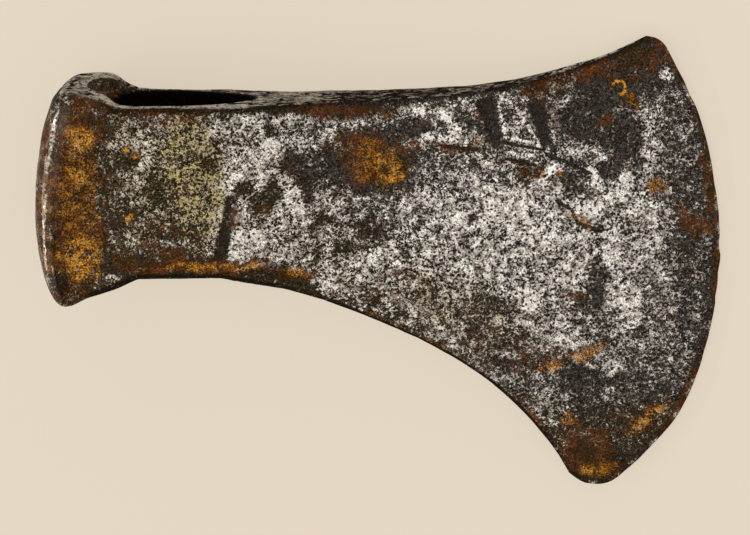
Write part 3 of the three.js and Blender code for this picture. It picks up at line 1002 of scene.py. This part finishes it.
def ledge_finish(u, w, normals, broad, patchy):
    """Bright and rusted shares of the ledges and the poll, and the share of the eye's near wall.

    The tops of the wall and of the poll are worn brighter. The poll's back and the underside are duller.
    """
    upward = normals[:, 1]
    wall = smooth(w, *WALL_ACROSS) * between(u, *WALL_ALONG) * smooth(upward, *WALL_FACING)
    poll_top = (1 - smooth(u, *POLL_TOP_END)) * smooth(upward, *POLL_TOP_FACING)
    back = smooth(-normals[:, 0], *BACK_FACING)
    bright = clouded(LEDGE_BRIGHT, patchy, WALL_BRIGHT * wall + POLL_TOP_BRIGHT * poll_top)
    bright *= (1 - BACK_DULLING * back) * (1 - UNDER_DULLING * smooth(-upward, *UNDER_FACING))
    rust = clouded(LEDGE_RUST, broad, 0.0)
    rust += back * (BACK_RUST + BACK_RUST_CLOUDS * patchy - rust)
    return bright, rust, wall


def lip_highlight_streaks(points, u, v):
    """How bright the poll's lip is worn and painted as its highlight: a swaying ridge along its crest and a
    leaning one beside it.
    """
    sway = CREST_SWAY * noise(points, *CREST_SWAY_NOISE)
    crest = ridge(u - sway, CREST_AT, CREST_WIDTH) * between(v, *CREST_SPAN)
    crest *= CREST_LEAST + (1 - CREST_LEAST) * broken(points, *CREST_GAPS)
    fold = ridge(u + FOLD_LEAN * v, FOLD_AT, FOLD_WIDTH) * between(v, *FOLD_SPAN)
    fold *= broken(points, *FOLD_GAPS)
    return np.maximum(CREST_BRIGHT * crest, FOLD_BRIGHT * fold)


def lip_polish(points, normals, u):
    """How polished the poll's lip is: all but its top, with duller gaps."""
    lip = (1 - smooth(u, *POLISH_END)) * (1 - smooth(normals[:, 1], *POLISH_FACING))
    return lip * (POLISH_LEAST + (1 - POLISH_LEAST) * broken(points, *POLISH_GAPS))


def eye_shade_share(points, inside):
    """How much painted shade the eye takes: it darkens just inside its mouths, and further in at its rear."""
    rear = 1 - smooth(points[:, 0], *EYE_REAR)
    sunk = np.minimum(EYE_TOP - points[:, 1], points[:, 1] - EYE_SEAT) - REAR_SHADE_START * rear
    start, full = EYE_SHADE_RISE
    return inside * smooth(sunk, start, full + REAR_SHADE_RISE * rear)


def warm_share(points, patchy):
    """How brownish the scale is: from a leaning border towards the poll, and at the heel, with clouds."""
    along, up = points[:, 0], points[:, 1]
    warm = 1 - smooth(along + WARM_LEAN * up, *WARM_BORDER) + WARM_HEEL_SHARE * smooth(-up, *WARM_HEEL)
    return np.clip(warm + WARM_CLOUDS * patchy, 0, 1)


def shade_share(normals, u, near_rim, blade_rim):
    """How dark a rounded rim is painted, with dirt and painted shade: where it turns off the cheeks or down,
    and along the near cheek's rims.
    """
    turned = 1 - smooth(np.abs(normals[:, 2]), *SHADE_TURN)
    under = UNDER_SHADE * smooth(-normals[:, 1], *SHADE_UNDER)
    on_rim = (RIM_SHADE + BLADE_RIM_SHADE * blade_rim) * near_rim
    return np.maximum(np.maximum(turned, under), on_rim) * smooth(u, *SHADE_START)


def finish_shares(points, normals, shares):
    """How bright, rusted, golden, khaki and dark each point is.

    The near cheek follows the painted patches, and darkens towards its rims with painted shade. The other
    faces take their shares from clouds of noise. Each face has a weight, by the direction of its normal.
    """
    u, v, w, inside = shares.T
    outside = 1 - inside
    broad = layered_noise(points, *BROAD_CLOUDS)
    patchy = layered_noise(points, *PATCHY_CLOUDS)
    near = smooth(normals[:, 2], *NEAR_FACING) * outside
    far = smooth(-normals[:, 2], *FAR_FACING) * outside
    ledge = outside - near - far
    rim, blade_rim, brown_line = rim_shares(points, shares)
    near_bright, near_rust, near_gold, khaki = near_finish(points, rim, blade_rim, brown_line)
    # Worn metal and a painted highlight along the lip's crest and fold
    near_bright = np.maximum(near_bright, lip_highlight_streaks(points, u, v))
    far_bright, far_rust, far_gold = far_finish(u, broad, patchy)
    ledge_bright, ledge_rust, wall = ledge_finish(u, w, normals, broad, patchy)
    eye_rust = EYE_RUST + EYE_RUST_CLOUDS * patchy
    bright = near * near_bright + far * far_bright + ledge * ledge_bright + inside * EYE_BRIGHT
    rust = near * near_rust + far * far_rust + ledge * ledge_rust + inside * eye_rust
    edge = smooth(u, *EDGE_START) * outside
    glints = broken(points, *GLINT_GAPS) * smooth(u, *GLINT_START) * outside
    shade = shade_share(normals, u, rim * near, blade_rim) * outside
    wide_strokes = [stroke for stroke in STROKES if stroke[3] > WIDE_STROKE]
    return {
        "bright": bright * (1 - EDGE_DULLING * edge) + GLINT_BRIGHT * glints,
        "rust": np.maximum(rust, edge * (EDGE_RUST + EDGE_RUST_CLOUDS * patchy)),
        "gold": near * near_gold + far * far_gold,
        "khaki": khaki * near,
        # Painted shade and dirt on the rims, lighter on the worn top of the eye's wall
        "shade": shade * (1 - WALL_LESS_SHADE * wall * ledge),
        "hollow": eye_shade_share(points, inside),
        "ledge": ledge,
        "near": near,
        "strokes": sum(stroke_share(points, normals, stroke) for stroke in wide_strokes),
        "warm": warm_share(points, patchy),
        "polish": lip_polish(points, normals, u),
    }


def stroke_share(points, normals, stroke):
    """How deep a stroke is let in at each point, from 0 to 1: a tapered bar with soft flanks and ends."""
    along, up, length, width, lean, _ = stroke
    across, lengthwise = turned_offset(points, along, up, lean)
    half = width / 2 * (1 + STROKE_TAPER * lengthwise / length)
    flank = FLANK + FLANK_BY_WIDTH * width
    bar = 1 - smooth(np.abs(across) - half, -flank, FLANK_OUTSIDE * flank)
    ends = 1 - smooth(np.abs(lengthwise) - length / 2, *STROKE_END)
    return bar * ends * smooth(normals[:, 2], *CARVED_FACING)


def relief_height(points, normals, shares, rust, size):
    """Height of the forged relief over the plain surface, in millimetres.

    Hammer marks are broad noise, pits are scattered dimples, rust stands up as a crust, and the strokes,
    the crease behind the lip and one deep pit are let in. The relief is lower at the thin cutting edge.
    """
    u, v, _, inside = shares.T
    cheek = smooth(normals[:, 2], *CARVED_FACING)
    thick = smooth(u, *THIN_EDGE)
    hammer = noise_sum(points, HAMMER_MARKS)
    battered = (1 - smooth(u, *BATTERED_END)) * noise_sum(points, BATTERING)
    calmed = THIN_HAMMER + (1 - THIN_HAMMER) * thick
    height = size.hammer_depth / MM * (hammer + BATTERED_SHARE * battered) * calmed
    shallow = THIN_PITS + (1 - THIN_PITS) * thick
    fields = broken(points, *PIT_FIELDS)
    for grain, seed, reach, depth in PITS:
        gap, number = scattered(points, grain, seed)
        dimple = 1 - smooth(gap, PIT_FLOOR * reach, reach * (PIT_LEAST + (1 - PIT_LEAST) * number))
        height -= size.pit_depth / MM * depth * dimple * fields * (number > PIT_LEFT_OUT) * shallow
    height += CRUST_HEIGHT * rust * (layered_noise(points, *CRUST_NOISE) + CRUST_LIFT) * shallow
    for stroke in STROKES:
        height -= size.stroke_depth / MM * stroke[-1] * stroke_share(points, normals, stroke)
    crease = ridge(u + CREASE_LEAN * v, CREASE_AT, CREASE_WIDTH) * between(v, *CREASE_SPAN)
    from_pit = np.hypot(*(points[:, :2] - DEEP_PIT).T)
    deep_pit = 1 - smooth(from_pit, *DEEP_PIT_RISE)
    height -= (CREASE_DEPTH * crease + DEEP_PIT_DEPTH * deep_pit) * cheek
    return height * (1 - EYE_CALM * inside)


def edge_nicks(points, shares):
    """How far the cutting edge is eaten back, in millimetres: a slow waver, and nicks in some stretches."""
    waver = np.maximum(noise_sum(points, EDGE_WAVER), -WAVER_OUT)
    nicks = NICK_DEPTH * broken(points, *NICK_GAPS) * broken(points, *NICK_FIELDS)
    return smooth(shares[:, 0], *NICKED_EDGE) * (waver + nicks)


def laid_down(points, size):
    """Turns the head about its eye to the angle at which its far cheek touches the ground, in metres."""
    touch_u = np.array([REST_SHOULDER, REST_BLADE])
    touch_v = np.full(2, REST_HEIGHT)
    along = side_point(touch_u, touch_v)[:, 0]
    under = -half_thickness(touch_u, touch_v, size)
    tilt = np.arctan2(under[1] - under[0], along[1] - along[0])
    turn = np.array([[np.cos(tilt), 0, np.sin(tilt)], [0, 1, 0], [-np.sin(tilt), 0, np.cos(tilt)]])
    ground = -along[0] * np.sin(tilt) + under[0] * np.cos(tilt) + REST_SINK
    return points @ turn.T * MM, ground * MM


class Wiring:
    """Adds nodes to a node tree and links them. An input is another node's socket or a plain value."""

    def __init__(self, tree):
        self.tree = tree

    def node(self, kind, inputs=None, **settings):
        made = self.tree.nodes.new(kind)
        for name, value in settings.items():
            setattr(made, name, value)
        self.feed(made, inputs or {})
        return made

    def feed(self, made, inputs):
        for name, value in inputs.items():
            if isinstance(value, bpy.types.NodeSocket):
                self.tree.links.new(value, made.inputs[name])
            else:
                made.inputs[name].default_value = value

    def maths(self, operation, first, second):
        return self.node("ShaderNodeMath", {0: first, 1: second}, operation=operation).outputs[0]

    def times(self, first, second):
        return self.maths("MULTIPLY", first, second)

    def plus(self, first, second):
        return self.maths("ADD", first, second)

    def minus(self, first, second):
        return self.maths("SUBTRACT", first, second)

    def most(self, first, second):
        return self.maths("MAXIMUM", first, second)

    def vectors(self, operation, first, second=(0, 0, 0)):
        made = self.node("ShaderNodeVectorMath", {0: first, 1: second}, operation=operation)
        return made.outputs["Value" if operation in ("DOT_PRODUCT", "LENGTH") else "Vector"]

    def colours(self, share, first, second, blend="MIX"):
        inputs = {0: share, 6: first, 7: second}
        return self.node("ShaderNodeMix", inputs, data_type="RGBA", blend_type=blend).outputs[2]

    def values(self, share, first, second):
        return self.node("ShaderNodeMix", {0: share, 2: first, 3: second}, data_type="FLOAT").outputs[0]

    def ranged(self, value, low, high, to_low=0.0, to_high=1.0, shape="SMOOTHSTEP"):
        inputs = {"Value": value, "From Min": low, "From Max": high, "To Min": to_low, "To Max": to_high}
        return self.node("ShaderNodeMapRange", inputs, interpolation_type=shape).outputs["Result"]

    def sloped(self, value, low, high, to_low, to_high):
        return self.ranged(value, low, high, to_low, to_high, "LINEAR")

    def swing(self, noise, to_low, to_high):
        return self.sloped(noise, *NOISE_SPAN, to_low, to_high)

    def grain(self, place, size, detail=2.0, roughness=0.6):
        inputs = {"Vector": place, "Scale": 1 / size, "Detail": detail, "Roughness": roughness}
        return self.node("ShaderNodeTexNoise", inputs).outputs["Fac"]

    def attribute(self, name):
        return self.node("ShaderNodeAttribute", attribute_name=name).outputs["Fac"]


def mask_group(name, inputs):
    """A node group with the named inputs that puts out one mask: its tree, its wiring and its inputs."""
    tree = bpy.data.node_groups.new(name, "ShaderNodeTree")
    for label, kind in inputs:
        tree.interface.new_socket(label, in_out="INPUT", socket_type="NodeSocket" + kind)
    tree.interface.new_socket("Mask", in_out="OUTPUT", socket_type="NodeSocketFloat")
    wire = Wiring(tree)
    return tree, wire, wire.node("NodeGroupInput").outputs


def speck_group():
    """Specks that cover a given share of the surface.

    Fine, middling and broad noise are added up, and the mask is where the sum stands over a level that
    falls as the share rises.
    """
    inputs = (("Place", "Vector"), ("Cover", "Float"), ("Scale", "Float"), ("Softness", "Float"))
    tree, wire, given = mask_group("Ragged specks", inputs)
    layers = []
    for coarser, weight, detail, distortion in SPECK_LAYERS:
        scale = wire.maths("DIVIDE", given["Scale"], coarser)
        settings = {"Detail": detail, "Roughness": SPECK_ROUGHNESS, "Distortion": distortion}
        grain = wire.node("ShaderNodeTexNoise", {"Vector": given["Place"], "Scale": scale, **settings})
        layers.append(wire.times(grain.outputs["Fac"], weight))
    ragged = wire.plus(wire.plus(layers[0], layers[1]), layers[2])
    level = wire.sloped(given["Cover"], 0.0, 1.0, *SPECK_LEVELS)
    low = wire.minus(level, given["Softness"])
    high = wire.plus(level, given["Softness"])
    wire.node("NodeGroupOutput", {"Mask": wire.ranged(ragged, low, high)})
    return tree


def line_group():
    """A straight line on the side view: the mask fades with the distance to the line's nearest point."""
    inputs = (("Place", "Vector"), ("Start", "Vector"), ("Run", "Vector"), ("Half width", "Float"))
    tree, wire, given = mask_group("Drawn line", inputs)
    offset = wire.vectors("SUBTRACT", given["Place"], given["Start"])
    along = wire.vectors("DOT_PRODUCT", offset, given["Run"])
    length = wire.vectors("DOT_PRODUCT", given["Run"], given["Run"])
    share = wire.sloped(wire.maths("DIVIDE", along, length), 0.0, 1.0, 0.0, 1.0)
    nearest = wire.vectors("MULTIPLY", given["Run"], share)
    gap = wire.vectors("LENGTH", wire.vectors("SUBTRACT", offset, nearest))
    inner, outer = (wire.times(given["Half width"], reach) for reach in LINE_EDGE)
    wire.node("NodeGroupOutput", {"Mask": wire.ranged(gap, inner, outer, 1.0, 0.0)})
    return tree


def opaque(colour):
    """A property's colour with full alpha."""
    return (*colour, 1.0)


def blank_material(name):
    """A material with an empty node tree: itself, its wiring and the object's own coordinates."""
    material = bpy.data.materials.new(name)
    material.use_nodes = True
    material.node_tree.nodes.clear()
    wire = Wiring(material.node_tree)
    return material, wire, wire.node("ShaderNodeTexCoord").outputs["Object"]


def shade_with(wire, inputs):
    """Feeds the inputs to the material's shader, and the shader to its surface."""
    shader = wire.node("ShaderNodeBsdfPrincipled", inputs)
    wire.node("ShaderNodeOutputMaterial", {"Surface": shader.outputs["BSDF"]})


def drawn_masks(wire, place, near, lines):
    """Masks of the dark lines, the bright lines and the open ring on the near cheek, with shaken outlines."""
    inputs = {"Vector": place, "Scale": 1 / LINE_SHAKE_GRAIN, "Detail": 1.0}
    shake = wire.node("ShaderNodeTexNoise", inputs).outputs["Color"]
    shake = wire.vectors("SUBTRACT", shake, (0.5, 0.5, 0.5))
    shake = wire.vectors("MULTIPLY", shake, (LINE_SHAKE, LINE_SHAKE, 0))
    flat = wire.vectors("ADD", wire.vectors("MULTIPLY", place, (1, 1, 0)), shake)
    group = line_group()

    def drawn(kind):
        mask = 0.0
        for start, run, half_width in lines[kind]:
            inputs = {"Place": flat, "Start": start, "Run": run, "Half width": half_width}
            mask = wire.most(mask, wire.node("ShaderNodeGroup", inputs, node_tree=group).outputs["Mask"])
        return wire.times(mask, near)

    gaps = wire.ranged(wire.grain(place, BRIGHT_LINE_GRAIN), *BRIGHT_LINE_GAPS)
    from_ring = wire.vectors("SUBTRACT", flat, lines["ring"])
    off_ring = wire.minus(wire.vectors("LENGTH", from_ring), RING_RADIUS * MM)
    off_ring = wire.maths("ABSOLUTE", off_ring, 0.0)
    ring = wire.ranged(off_ring, RING_WIDTH / 2 * MM, RING_WIDTH * MM, 1.0, 0.0)
    towards_gap = wire.vectors("DOT_PRODUCT", from_ring, RING_OPENS)
    gap_start, gap_end = (share * RING_RADIUS * MM for share in RING_GAP)
    opened = wire.ranged(towards_gap, gap_start, gap_end, 1.0, 0.0)
    return drawn("dark"), wire.times(drawn("bright"), gaps), wire.times(wire.times(ring, near), opened)


def metal_colour(wire, tones, bright, khaki, warm, middling):
    """Bare metal: grey to bright by its lustre, under a broken khaki film."""
    lustre = wire.plus(bright, wire.swing(middling, *LUSTRE_SWING))
    metal = wire.colours(wire.ranged(lustre, *LUSTRE_RISE), tones["grey"], tones["bright"])
    film = wire.times(khaki, wire.ranged(middling, *FILM_GAPS, FILM_LEAST, 1.0))
    tint = wire.most(film, wire.times(warm, WARM_FILM))
    return wire.colours(tint, metal, tones["khaki"])


def ground_colour(wire, tones, bright, warm, flecked, dot):
    """Charcoal to brownish scale, with flecks that are fewer where the metal is bright, and dark dots."""
    ground = wire.colours(warm, tones["scale"], tones["soot"])
    fleck = wire.colours(warm, tones["fleck"], tones["warm_fleck"])
    flecks = wire.times(flecked, wire.ranged(bright, *FLECK_FADE, *FLECK_SHARES))
    ground = wire.colours(flecks, ground, fleck)
    return wire.colours(wire.times(dot, DOT_DARKENS), ground, tones["hollow"])


def rust_colour(wire, tones, gold, fine, middling, broad):
    """Brown to red rust by broad clouds, which ripens unevenly to orange and gold."""
    uneven = wire.plus(wire.swing(fine, *FINE_RIPENING), wire.swing(middling, *MIDDLING_RIPENING))
    ripe = wire.plus(gold, wire.times(uneven, wire.sloped(gold, *RIPENING_BY_GOLD)))
    rusty = wire.colours(wire.ranged(broad, *RED_CLOUDS), tones["brown"], tones["red"])
    rusty = wire.colours(wire.ranged(ripe, *ORANGE_RISE), rusty, tones["orange"])
    return wire.colours(wire.ranged(ripe, *GOLD_RISE), rusty, tones["gold"])


def by_finish(wire, values, crusted, bare, hollow):
    """A value picked by the masks: rust lies over the ground, bare metal over both, and the eye over all."""
    of_ground, of_rust, of_metal, of_eye = values
    covered = wire.values(bare, wire.values(crusted, of_ground, of_rust), of_metal)
    return wire.values(hollow, covered, of_eye)


def iron_material(colours, size, lines):
    """Pitted charcoal scale with rust in patches, drawn lines and specks of metal worn bright."""
    material, wire, place = blank_material("worn_forged_iron")
    tones = {name: opaque(getattr(colours, name)) for name in AxeColours.__annotations__}
    share = {name: wire.attribute(name) for name in FINISHES}
    ledge, warm, hollow = share["ledge"], share["warm"], share["hollow"]
    fine, middling, broad = (wire.grain(place, *grain) for grain in (FINE_GRAIN, MIDDLING_GRAIN, BROAD_GRAIN))
    group = speck_group()

    def specks(where, cover, grain, softness):
        inputs = {"Place": where, "Cover": cover, "Scale": 1 / grain, "Softness": softness}
        return wire.node("ShaderNodeGroup", inputs, node_tree=group).outputs["Mask"]

    dark_lines, bright_lines, ring = drawn_masks(wire, place, share["near"], lines)
    dark_lines = wire.most(dark_lines, share["strokes"])
    bright = wire.plus(share["bright"], wire.times(bright_lines, LINE_BRIGHT))
    bright = wire.minus(bright, wire.times(dark_lines, LINE_DULLING))
    rust = wire.plus(share["rust"], ring)
    gold = wire.plus(share["gold"], wire.times(ring, RING_GOLD))

    drawn_out = wire.vectors("MULTIPLY", place, LEDGE_STREAKS)
    on_cheeks = specks(place, bright, size.speck, SPECK_SOFTNESS)
    worn = wire.values(ledge, on_cheeks, specks(drawn_out, bright, size.speck, STREAK_SOFTNESS))
    crusted = specks(place, rust, CRUST_GRAIN * size.speck, CRUST_SOFTNESS)
    flecked = specks(place, FLECK_COVER, FLECK_GRAIN * size.speck, FLECK_SOFTNESS)
    dots = wire.node("ShaderNodeTexVoronoi", {"Vector": place, "Scale": 1 / DOT_SPACING}).outputs
    dot = wire.ranged(dots["Distance"], *DOT_EDGE, 1.0, 0.0)
    dot = wire.times(dot, wire.ranged(dots["Color"], *DOT_PRESENT))
    worn = wire.times(worn, wire.minus(1.0, wire.times(dot, DOT_CLEARS)))
    bare = wire.times(worn, wire.sloped(crusted, 0.0, 1.0, 1.0, BARE_ON_RUST))
    bare = wire.times(bare, wire.sloped(ledge, 0.0, 1.0, 1.0, BARE_ON_LEDGE))

    colour = ground_colour(wire, tones, bright, warm, flecked, dot)
    colour = wire.colours(crusted, colour, rust_colour(wire, tones, gold, fine, middling, broad))
    # Painted shade and dirt on the rounded rims
    colour = wire.colours(wire.times(share["shade"], RIM_DARK), colour, tones["shadow"])
    metal = metal_colour(wire, tones, bright, share["khaki"], warm, middling)
    colour = wire.colours(bare, colour, metal)
    # Dark lines and strokes in the scale colour; the lines in the lip's crease are a painted shadow
    colour = wire.colours(wire.times(dark_lines, LINE_DARK), colour, tones["scale"])
    # Painted shade deep inside the eye
    colour = wire.colours(wire.times(hollow, EYE_DARK), colour, tones["hollow"])
    grit = wire.values(bare, wire.swing(fine, *GROUND_GRIT), wire.swing(fine, *BARE_GRIT))
    colour = wire.colours(1.0, colour, grit, "MULTIPLY")

    ground_shine = wire.times(wire.ranged(ledge, *LEDGE_DULL, 1.0, 0.0), METALLIC[0])
    height = wire.plus(wire.times(worn, BUMP_SPECKS), wire.times(fine, BUMP_GRAIN))
    height = wire.plus(height, wire.times(crusted, BUMP_CRUST))
    relief = {"Strength": BUMP_STRENGTH, "Distance": BUMP_HEIGHT, "Height": height}
    shade_with(wire, {
        "Base Color": colour,
        "Metallic": by_finish(wire, (ground_shine, *METALLIC[1:]), crusted, bare, hollow),
        "Roughness": by_finish(wire, ROUGHNESS, crusted, bare, hollow),
        "Normal": wire.node("ShaderNodeBump", relief).outputs["Normal"],
        "Specular IOR Level": 0.0,
        "Coat Weight": wire.times(share["polish"], wire.ranged(middling, *COAT_GAPS, *COAT_SHARES)),
        "Coat Roughness": COAT_ROUGHNESS,
    })
    return material


def floor_material(colours):
    """Plain matt paper in the floor's colour, with a faint mottle and a glow."""
    material, wire, place = blank_material("pale_floor")
    mottle = wire.swing(wire.grain(place, FLOOR_GRAIN), *FLOOR_MOTTLE)
    shade_with(wire, {
        "Base Color": wire.colours(1.0, opaque(colours.floor), mottle, "MULTIPLY"),
        "Roughness": FLOOR_ROUGHNESS,
        "IOR": FLOOR_IOR,
        "Emission Color": opaque(colours.floor),
        "Emission Strength": FLOOR_GLOW,
    })
    return material


def drawn_lines(points, normals, place):
    """Start, run and half width of the lines on the near cheek, and the ring's middle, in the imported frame.

    They are given in the side view, and each end takes the place of the nearest point of the cheek.
    """
    cheek = normals[:, 2] > LINE_FACING
    side, placed = points[cheek, :2], place[cheek] * (1, 1, 0)

    def placed_at(point):
        return placed[np.hypot(*(side - np.array(point)).T).argmin()]

    lines = {"ring": tuple(placed_at(RING_AT))}
    for kind, drawings in (("dark", DARK_LINES), ("bright", BRIGHT_LINES)):
        lines[kind] = []
        for start, end, half_width in drawings:
            first = placed_at(start)
            lines[kind].append((tuple(first), tuple(placed_at(end) - first), half_width * MM))
    return lines


def forge_head(size, colours):
    """Adds the forged head: the plain body moved out along its normals by the relief, and laid down."""
    points, shares, faces = forged_surface(size)
    normals = vertex_normals(points, faces)
    finish = finish_shares(points, normals, shares)
    plain, ground = laid_down(points, size)
    raised = points + normals * relief_height(points, normals, shares, finish["rust"], size)[:, None]
    raised[:, 0] -= edge_nicks(points, shares)
    place, _ = laid_down(raised, size)
    middle = (np.array(CAD_BOX[0]) + np.array(CAD_BOX[1])) / 2
    place[:, :2] += middle[:2] - (plain.min(0) + plain.max(0))[:2] / 2
    place[:, 2] = np.maximum(place[:, 2] - ground, 0)
    mesh = bpy.data.meshes.new("forged_axe_head")
    mesh.from_pydata(place, [], faces)
    mesh.shade_smooth()
    for name, values in finish.items():
        layer = mesh.attributes.new(name, "FLOAT", "POINT")
        layer.data.foreach_set("value", np.ascontiguousarray(values, np.float32))
    mesh.materials.append(iron_material(colours, size, drawn_lines(points, normals, place)))
    head = bpy.data.objects.new("forged_axe_head", mesh)
    bpy.context.scene.collection.objects.link(head)
    return head


def aimed(location, target):
    """A matrix at the location whose -Z axis points at the target."""
    turn = (Vector(target) - Vector(location)).to_track_quat("-Z", "Y")
    return Matrix.Translation(location) @ turn.to_matrix().to_4x4()


def soft_light(name, location, width, depth, radiance, colour):
    """A rectangular soft light aimed at the head, hidden from the camera."""
    light = bpy.data.lights.new(name, "AREA")
    light.shape = "RECTANGLE"
    light.size = width
    light.size_y = depth
    light.energy = radiance * np.pi * width * depth
    light.color = colour
    lamp = bpy.data.objects.new(name, light)
    lamp.matrix_world = aimed(location, AIM)
    lamp.visible_camera = False
    bpy.context.scene.collection.objects.link(lamp)


def set_stage(colours):
    """Adds the floor, the soft lights, the pale surroundings and the camera."""
    scene = bpy.context.scene
    reach = FLOOR_REACH
    corners = [(-reach, -reach, 0), (reach, -reach, 0), (reach, reach, 0), (-reach, reach, 0)]
    mesh = bpy.data.meshes.new("floor")
    mesh.from_pydata(corners, [], [(0, 1, 2, 3)])
    mesh.materials.append(floor_material(colours))
    floor = bpy.data.objects.new("floor", mesh)
    scene.collection.objects.link(floor)
    for name, location, width, depth, radiance, colour in LIGHTS:
        soft_light(name, location, width, depth, radiance, colour)
    world = bpy.data.worlds.new("pale_surroundings")
    world.use_nodes = True
    world.node_tree.nodes["Background"].inputs["Color"].default_value = SURROUNDINGS
    scene.world = world
    scene.view_settings.view_transform = "Standard"

    toward = Vector((tan(LEAN_X), tan(LEAN_Y), 1)).normalized()
    right = Vector((0, 1, 0)).cross(toward).normalized()
    up = toward.cross(right)
    camera = bpy.data.cameras.new("camera")
    camera.sensor_width = SENSOR_WIDTH
    camera.lens = PIXELS_PER_METRE * CAMERA_DISTANCE * SENSOR_WIDTH / PICTURE_WIDTH
    camera.clip_start = CLIP_START
    holder = bpy.data.objects.new("camera", camera)
    turn = Matrix((right, up, toward)).transposed().to_4x4()
    holder.matrix_world = Matrix.Translation(AIM + toward * CAMERA_DISTANCE) @ turn
    scene.collection.objects.link(holder)
    scene.camera = holder


class AXE_OT_forge(bpy.types.Operator):
    """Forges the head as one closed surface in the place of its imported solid"""

    bl_idname = "axe.forge"
    bl_label = "Forge the head"

    def execute(self, context):
        head = forge_head(context.scene.axe_sizes, context.scene.axe_colours)
        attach(head, "root")
        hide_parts(NODE)
        return {"FINISHED"}


class AXE_OT_stage(bpy.types.Operator):
    """Sets the floor, the soft light and the camera"""

    bl_idname = "axe.stage"
    bl_label = "Set the stage"

    def execute(self, context):
        set_stage(context.scene.axe_colours)
        return {"FINISHED"}


class AXE_PT_sidebar(bpy.types.Panel):
    """Lists the steps, sizes and colours of the axe head"""

    bl_idname = "AXE_PT_sidebar"
    bl_label = "Axe head"
    bl_space_type = "VIEW_3D"
    bl_region_type = "UI"
    bl_category = "Axe head"

    def draw(self, context):
        for operator in (AXE_OT_forge, AXE_OT_stage):
            self.layout.operator(operator.bl_idname)
        for group in (context.scene.axe_sizes, context.scene.axe_colours):
            for name in group.bl_rna.properties.keys():
                if name not in ("rna_type", "name"):
                    self.layout.prop(group, name)


CLASSES = (AxeSizes, AxeColours, AXE_OT_forge, AXE_OT_stage, AXE_PT_sidebar)


def register():
    for kind in CLASSES:
        bpy.utils.register_class(kind)
    bpy.types.Scene.axe_sizes = PointerProperty(type=AxeSizes)
    bpy.types.Scene.axe_colours = PointerProperty(type=AxeColours)


def unregister():
    del bpy.types.Scene.axe_colours
    del bpy.types.Scene.axe_sizes
    for kind in reversed(CLASSES):
        bpy.utils.unregister_class(kind)


def main():
    """Makes the head and its stage."""
    register()
    bpy.ops.axe.forge()
    bpy.ops.axe.stage()


if __name__ == "__main__":
    main()
